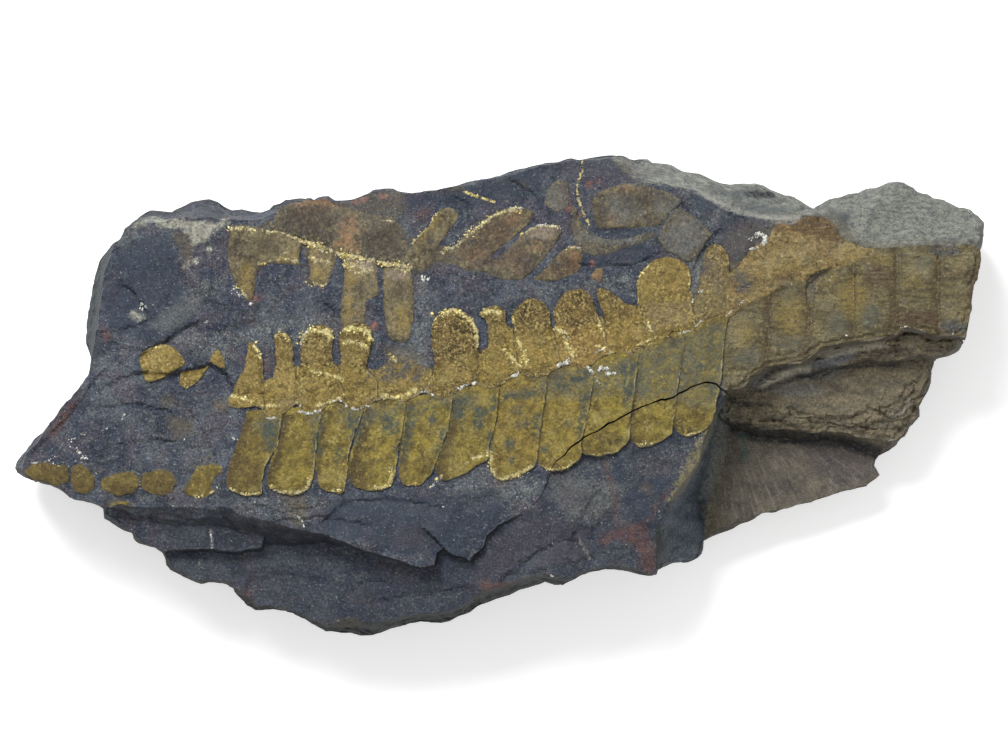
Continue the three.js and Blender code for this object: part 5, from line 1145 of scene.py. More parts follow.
secondMarks = {
    "orange": [[-29.6, 28, -29.2, 32, -28, 33.6, -26.6, 33, -26.4, 29.6, -27.4, 27.6], [-38.4, 35.2,
        -37, 37.4, -33, 37.4, -29, 36.8, -29, 35.4, -34, 35], [-4, 26.4, 1.2, 0.7, 30], [-1, 30, 1.2, 0.7],
        [14.2, 25.4, 1, 1.4], [7, 27.6, 0.9, 0.6], [18.6, 22.6, 1, 1], [-34, 35.4, 2, 0.6],
        [3.4, 23.4, 0.7, 0.5], [24, 38.4, 1.4, 0.6], [21, 33, 0.8, 0.6], [-23, 36, 2, 0.6],
        [2.4, 32.8, 1.4, 0.6, 30]],
    "rusty": [[-9, 26.4, -5, 29.6, 0, 33, 4, 33.6, 5, 31.4, 0, 27.4, -4, 24], [8, 22.4, 12, 26.4, 15, 26,
        14, 23], [-4, 24.6, 2, 28, 6, 27, 5, 23], [-36, 33, 2.4, 2], [12, 37, 1.6, 2.4]],
    "light": [[-46, 30, -45.4, 27, -44.4, 25, -37.4, 25, -37, 28.6, -43, 30.4], [-35.4, 27.4, -34.6, 21.6,
        -31.6, 21.6, -30.4, 26.6], [-28.8, 25.6, -28.8, 14, -25.4, 14, -23, 20, -23, 24.6], [-21.2, 23.6,
        -20.6, 12, -17, 11, -16.2, 19, -16.6, 23.4], [9, 30.4, 2, 0.8, 10]],
    "grey": [[31, 36, 3, 2.4], [34.6, 29.6, 4, 3.4, 40], [22, 29, 4.6, 1.4, -6], [17, 29.6, 2.6, 1.2],
        [11, 36.6, 2, 2.6], [23, 35, 4.4, 2.6]],
    "yellow": [[-47, 22, 1.2, 3], [-38.6, 25.6, 2.4, 0.8, 20], [-33.4, 22.6, 1.6, 1.6], [-28, 16, 1.2, 3],
        [-17.8, 14, 1.6, 3], [-27.6, 22, 1.6, 2], [-13, 31, 0.9, 3.4, -40], [-34, 27.4, 2, 0.7]],
    "dark": [[-8, 27.4, -4, 30, 0, 32.4, 3, 32, 0, 28.4, -4, 25.4], [-41, 33, -38, 35, -33, 35.6, -31, 32,
        -31.6, 28, -36, 29.6, -40, 31], [-25, 26, -24.6, 30, -22, 32, -19.4, 31, -18.4, 26],
        [-48.4, 27.4, 1.6, 2.4], [-43, 28, 3, 1.6], [-19, 20, 1.4, 2.4], [-26, 20, 1.4, 1.4],
        [-2, 25.4, 3, 1, 10], [5, 24.4, 2.4, 1.4, 30], [-12, 27, 2.4, 1.4], [-6, 28, 1.2, 1.6],
        [12, 24.4, 2, 1.2, 30], [26, 36, 3, 1.4], [31, 36.6, 1.6, 1], [19, 34, 1.2, 2]],
    "pinkish": [[-19, 22.4, 2.4, 0.7], [8.4, 30.2, 2.4, 0.8, 10], [-25.4, 24.4, 3, 0.6, -8]],
}


def bands(x, y, lines):
    # 1 along each line, falling to 0 at its width
    return np.max([1 - lineDistance(x, y, line) / width for width, line in lines], axis=0).clip(0, 1)


def alongAxis(x, y, shape):
    # 0 at a leaflet's base, 1 at its tip
    shape = pairs(shape)
    base = (shape[0] + shape[-1]) / 2
    tip = shape[np.argmax(np.linalg.norm(shape - base, axis=1))]
    along = tip - base
    return np.clip(((x - base[0]) * along[0] + (y - base[1]) * along[1]) / (along @ along), 0, 1)


def nearestLine(x, y, lines):
    return np.minimum(np.min([lineDistance(x, y, line) for line in lines], axis=0), 3)


def steepShadeShare(thing):
    # how steeply a face falls away, most of all towards the front: the share of painted shade that the
    # materials lay on such faces
    x, y, z = points(thing, "vertex_normals", "vector")
    return np.clip((0.9 - z) / 0.5, 0, 1) * np.clip(0.4 - 1.1 * y + 0.3 * x, 0.05, 1)


def markSlab(thing):
    x, y, z = points(thing)
    turned, up = points(thing, "vertex_normals", "vector")[1:]
    wobble = 0.4 * swell(x, y, 2.4, 311)
    # the outer wall, where no mark from the face runs down
    outer = np.clip((0.5 - up) / 0.25, 0, 1) * np.clip((1.8 - inset(x, y, outline)) / 0.8, 0, 1)
    setAttribute(thing, "outer", outer)
    for name, shapes in marks.items():
        setAttribute(thing, name, patches(x, y, shapes) - 4 * outer)
    setAttribute(thing, "vein", 0.25 - nearestLine(x, y, veins) - 4 * outer)
    setAttribute(thing, "crackAndShadow", nearestLine(x, y, cracksAndShadowLines) + 3 * outer)
    # the bevel at the back and the band down the left end
    main = inset(x, y, mainBedEdge[:, :2])
    onMain = np.minimum(main, z - mainFace(x, y) + 1.2)
    deeper = np.clip((24 - z) / 5, 0, 1)
    start = 21 + deeper * (4 + 0.4 * (24 - z) + 4 * swell(0.4 * x, z, 4, 313))
    backRight = np.where(y > 24 + np.clip(x - 60, -30, 5) * 0.1, (x - start) / 1.5, -3)
    band = np.minimum(-62 - x, (z - 11) / 2) - 5 * outer * np.clip((turned - 0.5) / 0.2, 0, 1)
    leftBand = np.where(y > 6, band, -3)
    bevel = np.minimum(np.maximum(backRight, leftBand), -onMain + wobble - 0.1 + 0.5 * (abs(x - 25) < 5))
    setAttribute(thing, "bevel", np.clip(bevel, -3, 3))
    greenish = np.where(x < -60, np.clip((-66 - x) / 4, -1, 1), np.where(y < -30, 0.6, -1))
    setAttribute(thing, "greenish", greenish * 3)
    # the ledges and walls of the right half
    low = (x > 33) & (z < 14.4 + 0.02 * (x - 55)) & (y < -3)
    start = np.interp(y, [-30, -12, -2], [38.2, 39.8, 42.2])
    footFace = np.where(low, np.clip(np.minimum((11.4 - z) / 0.8, (x - start) / 1.5), -1, 1), -1)
    setAttribute(thing, "footFace", footFace * 3)
    brown = np.minimum((x - 42) / 1.5, (z - 4) / 2 + 1.6 * swell(0.3 * x, 0.3 * y + z, 5, 315))
    setAttribute(thing, "brown", np.clip(np.where(y > 25 + (x > 60), -3, brown) + wobble, -3, 3))
    for name, top in (("ledgeDustAndLight", 25), ("slopeLip", 100), ("slope", 24.6)):
        setAttribute(thing, name, np.where(z < top, patches(x, y, slopeMarks[name]), -3))
    # the lower bed and the walls between the beds
    lowerBed, shelf = inset(x, y, lowerBedEdge[:, :2]), inset(x, y, middleShelfEdge[:, :2])
    lower = np.minimum(lowerBed, mainFace(x, y) - 0.9 - z + 5 * (x > -8) * (main < 0))
    setAttribute(thing, "lower", np.clip(np.where(main < -0.2, lower, -3), -3, 3))
    beyond = -np.maximum(np.maximum(main, shelf), lowerBed)
    setAttribute(thing, "wall", np.where((y < -24) & (x < 33), np.clip(beyond + wobble, -3, 3), -3))
    setAttribute(thing, "fan", 25 * np.arctan2(y - 8, x - 39))
    setAttribute(thing, "far", np.hypot(x - 39, y - 8))
    depth = np.maximum(mainFace(x, y), 0) - z
    setAttribute(thing, "depth", depth + 14 * outer * np.clip((depth - 6) / 5, 0, 1))
    # painted shade on steep faces, left off the sloping end and the shelf's plates
    onSlope = np.clip(patches(x, y, slopeMarks["slope"] + marks["plate"]) + 0.5, 0, 1)
    setAttribute(thing, "steepShade", steepShadeShare(thing) * (1 - 0.9 * onSlope))


def nearestLeaflet(x, y, shapes):
    best, which = np.full(x.shape, -9.0), np.zeros(x.shape, int)
    for i, shape in enumerate(shapes):
        here = inset(x, y, shape)
        which, best = np.where(here > best, i, which), np.maximum(best, here)
    return best, which


def markFrond(thing, shapes, tones, own, gold=None, whole=None, fade=0):
    x, y, z = points(thing)
    best, which = nearestLeaflet(x, y, shapes)
    best = best - np.broadcast_to(fade, len(shapes))[which]
    setAttribute(thing, "inset", np.maximum(best, inset(x, y, whole)) if whole else best)
    # the share of painted shade on the film's steep sides
    setAttribute(thing, "steepShade", steepShadeShare(thing))
    setAttribute(thing, "tone", np.array(tones)[which])
    along = np.array([alongAxis(x, y, shape) for shape in shapes])
    setAttribute(thing, "along", np.take_along_axis(along, which[None], 0)[0])
    if gold:
        setAttribute(thing, "gold", bands(x, y, gold))
    setAttribute(thing, "sunk", mainBedFace(x, y) - z)
    for name, patch in own.items():
        setAttribute(thing, name, patches(x, y, patch))
    return x, y, which


def markLower():
    # each seam runs from base to tip, down a leaflet's right edge
    shapes = [lowerShape(i) for i in range(len(lowerLeaflets))] + looseTips
    fade = [0] * len(lowerLeaflets) + [0.3] * len(looseTips)
    x, y = markFrond(lowerFrond, shapes, lowerTones, lowerMarks, lowerGold, upperSheet, fade)[:2]
    seams = [np.concatenate([pairs(right)[::-1], pairs(tip)[-1:]]) for left, tip, right in lowerLeaflets]
    across = 0.42 + 0.4 * swell(x, y, 3.4, 351)
    # the brown left side is painted shade under the neighbouring leaflet
    for (left, tip, right), brown in zip(lowerLeaflets, lowerBrowns):
        here = inset(x, y, left + tip + right) > -0.4
        toLeft, toRight = lineDistance(x, y, left), lineDistance(x, y, right)
        across = np.where(here, 1 - brown * toRight / np.maximum(toLeft + toRight, 0.1), across)
    setAttribute(lowerFrond, "seam", nearestSide(x, y, seams) + 0.15 * swell(x, y, 2, 353))
    setAttribute(lowerFrond, "across", across)


def markRight():
    x, y = markFrond(rightFrond, [rightSheet], [0], rightMarks)[:2]
    above = overStep(x, y)
    bound = (above > 0.1) & (x < 69)
    seam = nearestSide(x, y, rightSeams[:-1]) + 0.3 * swell(x, y, 2.6, 361)
    setAttribute(rightFrond, "seam", np.where(bound, 3, seam))
    setAttribute(rightFrond, "above", np.where(x < 70, np.clip(above, -3, 3), -3))
    setAttribute(rightFrond, "across", np.where(bound, 0.6, 1 - rightShare(x, y) * 0.95))


def markUpper():
    shapes = upperLeaflets + looseUpper
    x, y, which = markFrond(upperFrond, shapes, upperTones, upperMarks, upperGold, upperSheet)
    setAttribute(upperFrond, "sheet", inset(x, y, upperSheet))
    setAttribute(upperFrond, "coarse", np.array(upperCoarse)[which])
    setAttribute(upperFrond, "rim", np.minimum(lineDistance(x, y, scallops), 3))
    setAttribute(upperFrond, "seam", nearestSide(x, y, upperSeams) + 0.25 * swell(x, y, 1.3, 275))


markSlab(slab)
markLower()
markRight()
markUpper()
tones, shapes = zip(*secondLeaflets)
markFrond(secondFrond, shapes, tones, secondMarks, secondGold, None, 0.15)
print("marks placed")


# loose crystals: grains of iron mineral on the films, and flecks of calcite

grainSizes = {"upper": 4, "lower": 2.4, "flecks": 20, "radius": 0.15, "spread": 0.5,
              "fleckRadius": 0.125, "fleckSpread": 0.55}
# calcite along lines: width, size and line
calciteLines = [
    (0.35, 1.1, [-43.8, -4.1, -42.6, -4.3, -41.6, -4.1]), (0.3, 0.9, [-39.4, -1.5, -38.2, -1.3,
    -36.9, -1.9]), (0.35, 1.1, [-37.2, -3, -35.4, -3.4, -33.4, -2.9]), (0.3, 0.9, [-31.8, -1.9, -30, -0.6,
    -28.2, -1.8]), (0.35, 1, [-27.7, -2.3, -26.2, -2.5, -24.2, -1.9]), (0.35, 1.2, [-14.6, 0.6, -13.4, 0.8,
    -12.3, 0.2]), (0.4, 1.3, [-7.8, 1.1, -6.4, 1.9, -4, 2.4]), (0.45, 1.3, [0.9, 2.9, 2.4, 3.6, 3.8, 4.2]),
    (0.6, 1.4, [11, 5.6, 12.1, 6, 13.1, 6.6]), (0.4, 1.1, [18.1, 8, 19.2, 8.7, 20.6, 8.8]),
    (0.3, 0.9, [33, 11.2, 35.6, 12.2, 37.8, 13.8]), (0.25, 0.8, [42.4, 14.9, 45.5, 17.6]),
    (0.45, 1.5, [16.5, 5.4, 17.6, 3.9, 18.5, 2.4]), (0.4, 1.5, [17.6, 4.2, 19, 5, 20.4, 5]),
    (0.4, 1.4, [19.6, 4.2, 21.8, 4]), (0.7, 1.7, [46.2, 28.2, 47, 29.4, 48, 30, 49.3, 29.7, 49.4, 28.4]),
    (0.6, 1.6, [46.2, 27.4, 47.4, 27.2, 48.8, 27.8, 49.4, 28.6]), (0.3, 1.2, [-66.8, 17.4, -65.6, 16.4]),
    (0.25, 0.9, [-37.9, -22.2, -36.8, -23, -36.2, -24.4]), (0.25, 0.8, [-42, -17.6, -38.4, -18.6,
    -35.6, -17.2]), (0.3, 1.1, [-13, -17.4, -11.6, -16, -10.2, -15]), (0.25, 0.9, [-1.2, -15, 0.3, -16,
    3.8, -15.2, 5.6, -14.3]), (0.3, 1, [12.5, 27.6, 14.2, 28.1, 15, 27.4]), (0.3, 1, [7, 31.6, 9, 31.9,
    11.6, 31]), (0.25, 1, [2, 34.9, 4.6, 34.9]), (0.3, 1, [-36.8, 9, -36.4, 11, -35, 12.6]),
    (0.25, 1, [-49.4, 20.4, -47.8, 18]), (0.15, 0.6, [74, 12.4, 75.9, 12.9, 79, 12.2]),
    (0.25, 0.8, [-87, -12.6, -84, -12.2, -81.6, -13.2]), (0.2, 0.8, [86.8, 35, 88.6, 34]),
    (0.2, 0.8, [-53.8, -25, -53.5, -28.4]),
]
# and in clusters: x, y, reach, size and count
clusters = [
    (-41.9, -4.2, 0.5, 1, 4), (-46, 16.9, 0.4, 1.5, 7), (-14, 21.8, 0.6, 1.5, 12),
    (-13.2, 21.6, 0.4, 1.2, 6), (-49.5, 19.6, 0.4, 1, 5), (-49.6, 22.4, 0.3, 1, 3),
    (-54.5, 13.8, 0.4, 1.1, 5), (-79.4, -8.4, 1.4, 1.2, 9), (-77.4, -11.4, 1.4, 1.4, 12),
    (-83, -12, 0.9, 1, 4), (-78, -10.6, 0.5, 1.6, 5), (-70, -4, 0.5, 1.3, 5), (-73, -6, 0.3, 1, 3),
    (-77.3, -7.2, 0.3, 1, 3), (-49.3, -8, 0.45, 1.4, 6), (-58.6, -8.2, 0.2, 1, 2), (-50, -3.8, 0.3, 1, 3),
    (9.8, -33.6, 0.35, 1.4, 6), (9.6, -27.2, 0.4, 0.8, 3), (27.6, -8.4, 0.8, 0.8, 5),
    (27.4, -5.8, 0.8, 0.8, 5), (37.8, -8.4, 1, 0.9, 5), (58, 14, 0.25, 1.1, 2), (61.7, 21.3, 0.3, 1.2, 3),
    (54.5, 20.7, 0.3, 1.2, 3), (37.8, 19.4, 0.4, 1.4, 7), (36, 17.8, 0.3, 1.3, 4), (64.8, 11, 0.3, 1, 2),
    (-10.1, 13, 0.25, 1.2, 2), (-3.8, 9.6, 0.25, 1.3, 3), (-44.4, 7.6, 0.4, 0.9, 4),
    (-60.4, -20.5, 0.25, 1, 2), (-45.4, -19.8, 0.3, 1, 3), (-10.4, -20.6, 0.3, 1, 2),
    (55.9, -13.3, 0.2, 1, 2), (-56.2, 24.8, 0.4, 1, 3), (-53.4, 27, 0.4, 1, 3), (12.4, 11.6, 0.6, 1.2, 7),
    (13.2, 9, 0.4, 1, 4), (40.6, -13, 0.6, 0.8, 2), (20.8, -11.8, 0.6, 0.8, 3), (-13.4, 7.6, 0.8, 0.8, 3),
    (16.2, 30, 0.4, 0.9, 3), (5, -20.8, 0.3, 1, 2), (-52.4, -17.2, 0.3, 1, 3), (-67, -16.2, 0.3, 0.9, 3),
    (-75.2, -14.6, 0.4, 1, 4), (-66.6, 16.2, 0.4, 1.4, 5), (-20.4, -13.6, 0.3, 0.9, 3),
    (84.6, 11.8, 0.4, 1, 4),
]


def clumped(spots, draw):
    # thins the crystals out, so that what is left lies in clumps
    keep = swell(spots[:, 0], spots[:, 1], 1.5, 371) + 0.5 * swell(spots[:, 0], spots[:, 1], 0.7, 373)
    return spots[keep > draw.uniform(-0.5, 0.6, len(spots))]


def scatterAlong(lines, perArea, draw):
    # x, y and size of the crystals along each line
    made = []
    for width, size, line in lines:
        line = resample(line, 0.2, closed=False)
        count = int(len(line) * 0.2 * 2 * width * perArea)
        spots = line[draw.integers(0, len(line), count)] + draw.normal(0, 0.28 * width, (count, 2))
        sizes = size * draw.choice([0.6, 0.9, 1.3, 1.9], count, p=[0.4, 0.3, 0.22, 0.08])
        made.append(np.column_stack([spots, sizes]))
    return clumped(np.concatenate(made), draw)


def surfaceHeights(places, things):
    # the highest face of these pieces below each place
    graph = bpy.context.evaluated_depsgraph_get()
    trees = [BVHTree.FromObject(thing, graph) for thing in things]
    made = []
    for x, y in places:
        hits = [tree.ray_cast(Vector((x, y, 60)), Vector((0, 0, -1)))[0] for tree in trees]
        made.append(max((hit.z for hit in hits if hit), default=0))
    return np.array(made)


def crystalTree(material):
    # sets a small faceted crystal at each point, turned and stretched at random
    tree = bpy.data.node_groups.new("crystals", "GeometryNodeTree")
    for name, kind in (("Geometry", "Geometry"), ("Radius", "Float"), ("Spread", "Float"), ("Seed", "Int")):
        tree.interface.new_socket(name, in_out="INPUT", socket_type="NodeSocket" + kind)
    tree.interface.new_socket("Geometry", in_out="OUTPUT", socket_type="NodeSocketGeometry")
    given = tree.nodes.new("NodeGroupInput").outputs
    spread, seed, around = given["Spread"], given["Seed"], (2 * math.pi,) * 3

    def added(kind, inputs, wanted=0, **settings):
        return addNode(tree, kind, inputs, **settings).outputs[wanted]

    crystal = added("GeometryNodeMeshIcoSphere", {"Radius": given["Radius"], "Subdivisions": 1})
    turn = added("FunctionNodeRandomValue", {1: around, "Seed": seed}, data_type="FLOAT_VECTOR")
    least = added("ShaderNodeMath", {0: 1.0, 1: spread}, operation="SUBTRACT")
    most = added("ShaderNodeMath", {0: 1.0, 1: spread}, operation="ADD")
    shape = added("FunctionNodeRandomValue", {0: least, 1: most, "Seed": seed}, data_type="FLOAT_VECTOR")
    own = added("GeometryNodeInputNamedAttribute", {"Name": "size"}, "Attribute", data_type="FLOAT")
    size = added("ShaderNodeVectorMath", {0: shape, 1: own}, operation="MULTIPLY")
    placed = added("GeometryNodeInstanceOnPoints", {"Points": given["Geometry"], "Instance": crystal,
                                                    "Rotation": turn, "Scale": size})
    solid = added("GeometryNodeRealizeInstances", {"Geometry": placed})
    finish = added("GeometryNodeSetMaterial", {"Geometry": solid, "Material": material})
    addNode(tree, "NodeGroupOutput", {"Geometry": finish})
    return tree


def makeCrystals(name, spots, things, material, values):
    # spots are x, y and size
    seeds = makeObject(name, np.column_stack([spots[:, :2], surfaceHeights(spots[:, :2], things)]), [])
    setAttribute(seeds, "size", spots[:, 2])
    modifier = seeds.modifiers.new("crystals", "NODES")
    modifier.node_group = crystalTree(material)
    for item in modifier.node_group.interface.items_tree:
        if item.in_out == "INPUT" and item.name in values:
            modifier[item.identifier] = values[item.name]
    bake(seeds)
    return seeds


# finishes: each colour is red, green and blue from 0 to 255, as a screen shows them

def colour(r, g, b):
    linear = [((c / 255 + 0.055) / 1.055) ** 2.4 if c > 10 else c / 255 / 12.92 for c in (r, g, b)]
    return (*linear, 1.0)


def addNode(tree, kind, inputs=None, **settings):
    made = tree.nodes.new(kind)
    for name, value in settings.items():
        setattr(made, name, value)
    for name, value in (inputs or {}).items():
        if isinstance(value, bpy.types.NodeSocket):
            tree.links.new(value, made.inputs[name])
        else:
            made.inputs[name].default_value = value
    return made


def places(tree, stretch=(1, 1, 1), turn=0.0):
    # object coordinates in millimetres, stretched and turned where a pattern needs it
    found = addNode(tree, "ShaderNodeTexCoord")
    mapping = addNode(tree, "ShaderNodeMapping", {"Vector": found.outputs["Object"]})
    mapping.inputs["Scale"].default_value = [1000 * s for s in stretch]
    mapping.inputs["Rotation"].default_value = (0, 0, math.radians(turn))
    return mapping.outputs["Vector"]


def noise(where, size, detail=3.0, rough=0.55, distortion=0.0):
    made = addNode(where.id_data, "ShaderNodeTexNoise", {"Vector": where, "Scale": 1 / size, "Detail": detail,
                                                         "Roughness": rough, "Distortion": distortion})
    return made.outputs["Fac"]


def grainColour(where, size):
    # one colour for each grain, at random
    made = addNode(where.id_data, "ShaderNodeTexVoronoi", {"Vector": where, "Scale": 1 / size})
    return made.outputs["Color"]


def between(value, low, high, toLow=0.0, toHigh=1.0):
    inputs = {"Value": value, "From Min": low, "From Max": high, "To Min": toLow, "To Max": toHigh}
    made = addNode(value.id_data, "ShaderNodeMapRange", inputs, interpolation_type="SMOOTHSTEP")
    return made.outputs["Result"]


def sums(operation, a, b, c=None):
    inputs = {0: a, 1: b} if c is None else {0: a, 1: b, 2: c}
    return addNode(a.id_data, "ShaderNodeMath", inputs, operation=operation).outputs[0]


def times(a, b, c=None):
    # a times b, and c more where there is one
    return sums("MULTIPLY" if c is None else "MULTIPLY_ADD", a, b, c)


def plus(a, b):
    return sums("ADD", a, b)


def blend(share, a, b, mode="MIX"):
    tree = a.id_data if isinstance(a, bpy.types.NodeSocket) else share.id_data
    a, b = (tint if isinstance(tint, bpy.types.NodeSocket) else colour(*tint) for tint in (a, b))
    made = addNode(tree, "ShaderNodeMix", {0: share, 6: a, 7: b}, data_type="RGBA", blend_type=mode)
    return made.outputs[2]


def darken(tint, share):
    # the tint times a share, which may be over 1
    grey = addNode(tint.id_data, "ShaderNodeCombineColor", {0: share, 1: share, 2: share}).outputs[0]
    return blend(1.0, tint, grey, "MULTIPLY")


def marked(tree, name):
    return addNode(tree, "ShaderNodeAttribute", attribute_name=name).outputs["Fac"]


def ragged(name, where, size, amount, soft=0.15, shift=0.0):
    # the share of a mark, with its edge broken up by noise
    broken = times(noise(where, size, 5, 0.68), amount * 2, shift - amount)
    return between(plus(marked(where.id_data, name), broken), -soft, soft)


def newMaterial(name, roughness, specular):
    material = bpy.data.materials.new(name)
    material.use_nodes = True
    tree = material.node_tree
    shader = tree.nodes["Principled BSDF"]
    shader.inputs["Roughness"].default_value = roughness
    shader.inputs["Specular IOR Level"].default_value = specular
    return material, tree, shader


def finishSurface(shader, tint, height, distance):
    tree = tint.id_data
    tree.links.new(tint, shader.inputs["Base Color"])
    bump = addNode(tree, "ShaderNodeBump", {"Height": height, "Distance": distance * metre, "Strength": 1.0})
    tree.links.new(bump.outputs["Normal"], shader.inputs["Normal"])


slateLook = {
    "deep": (37, 43, 54), "mid": (57, 64, 77), "light": (78, 84, 91), "plum": (76, 68, 76),
    "navy": (40, 46, 66), "worn": (92, 96, 96), "dusted": (100, 103, 98), "dust": (114, 119, 120),
    "pitAndShadow": (24, 25, 31), "speck": (150, 152, 150),
}


def slate(where):
    # bare stone: blue-grey, plum-grey in places, with a fine grit of pale dust and dark pits
    look, tree = slateLook, where.id_data
    grit, sand = noise(where, 0.4, 3, 0.7), noise(where, 1, 4, 0.72)
    tint = blend(between(noise(where, 3.2, 5, 0.66), 0.34, 0.64), look["deep"], look["mid"])
    for name, shape, low, high, most in (
        ("light", (13, 5, 0.68, 0.5), 0.46, 0.6, 0.7), ("plum", (5.5, 6, 0.72, 0.4), 0.5, 0.58, 0.6),
        ("navy", (4.2, 6, 0.74, 0.6), 0.52, 0.6, 0.6), ("worn", (2.2, 6, 0.78, 0.4), 0.53, 0.6, 0.5),
    ):
        tint = blend(between(noise(where, *shape), low, high, 0, most), tint, look[name])
    dusty = between(marked(tree, "dusty"), -1.2, 1)
    soft = times(dusty, between(noise(where, 1.1, 6, 0.8), 0.42, 0.6, 0, 0.5))
    tint = blend(soft, tint, look["dusted"])
    tint = blend(between(sand, 0.54, 0.72, 0, 0.5), tint, look["dust"])
    tint = blend(between(sand, 0.43, 0.3, 0, 0.75), tint, look["pitAndShadow"])
    tint = darken(tint, between(grit, 0.3, 0.7, 0.5, 1.5))
    # pale specks, more of them where the stone is dusty
    level = plus(noise(where, 0.45, 2, 0.85), times(dusty, 0.07))
    tint = blend(between(level, 0.62, 0.7, 0, 0.45), tint, look["speck"])
    relief = plus(times(grit, 0.14), times(sand, 0.42))
    return tint, relief


shaleLook = {
    "bevelDark": (84, 90, 90), "bevelPale": (142, 143, 132), "green": (50, 59, 62), "shade": (72, 77, 80),
    "foot": (102, 96, 83), "footDark": (72, 67, 62), "scratch": (126, 121, 110), "ledge": (118, 108, 86),
    "ledgeDark": (84, 79, 68), "ledgeDustAndLight": (118, 117, 112), "slope": (60, 78, 94),
    # the ledge's dust colour also serves as painted light in its hollow
    "slopeLip": (128, 120, 84), "side": (48, 50, 47), "sideRust": (62, 56, 46), "wall": (44, 49, 47),
    "low": (38, 42, 54), "rust": (100, 64, 52), "plum": (64, 56, 64), "crust": (164, 162, 146),
    # the darkest colour here is painted shadow under the ledges, and also the dark speckle of the sloping end
    "ochre": (98, 86, 58), "hazeAndLight": (116, 118, 112), "shadowAndSpeck": (26, 30, 34), "teal": (56, 92, 88),
    # the plates' pale colour is painted light
    "ashen": (112, 118, 114), "salmon": (150, 98, 82), "block": (100, 104, 112), "plate": (166, 160, 138),
    "amber": (140, 104, 62), "shadow": (48, 54, 58), "blue": (42, 52, 66), "pale": (152, 150, 140),
    "vein": (222, 202, 128), "film": (94, 85, 64), "crackAndShadow": (24, 25, 29),
}

# each mark on the stone, in the order they are laid on: noise size, raggedness, softness and strength; the
# darkest bands, under the ledges and in hollows, are painted shadow
shaleMarks = [
    ("blue", 1.8, 1.2, 0.9, 0.85), ("shadowAndSpeck", 0.9, 0.6, 0.4, 1), ("block", 0.9, 0.8, 0.5, 0.9),
    # the plates are painted light, on the shaded shelf
    ("plate", 0.7, 1, 0.5, 0.9), ("shadow", 0.8, 0.8, 0.5, 0.75), ("teal", 0.6, 1.2, 0.6, 0.8),
    # the pale haze includes painted light on the hump's lit left slope
    ("ashen", 1, 1.6, 0.8, 0.65), ("hazeAndLight", 1.8, 2.4, 1.2, 0.4), ("film", 1.6, 1.6, 1, 0.6),
    ("amber", 1.2, 1, 0.6, 0.75), ("plum", 1.6, 1.5, 1, 0.5), ("ochre", 1.2, 1.4, 0.8, 0.5),
    ("rust", 0.8, 1.3, 0.9, 0.6), ("salmon", 0.6, 0.8, 0.5, 0.7), ("crust", 1, 1.3, 0.6, 0.9),
    ("pale", 0.6, 0.5, 0.3, 0.7),
]


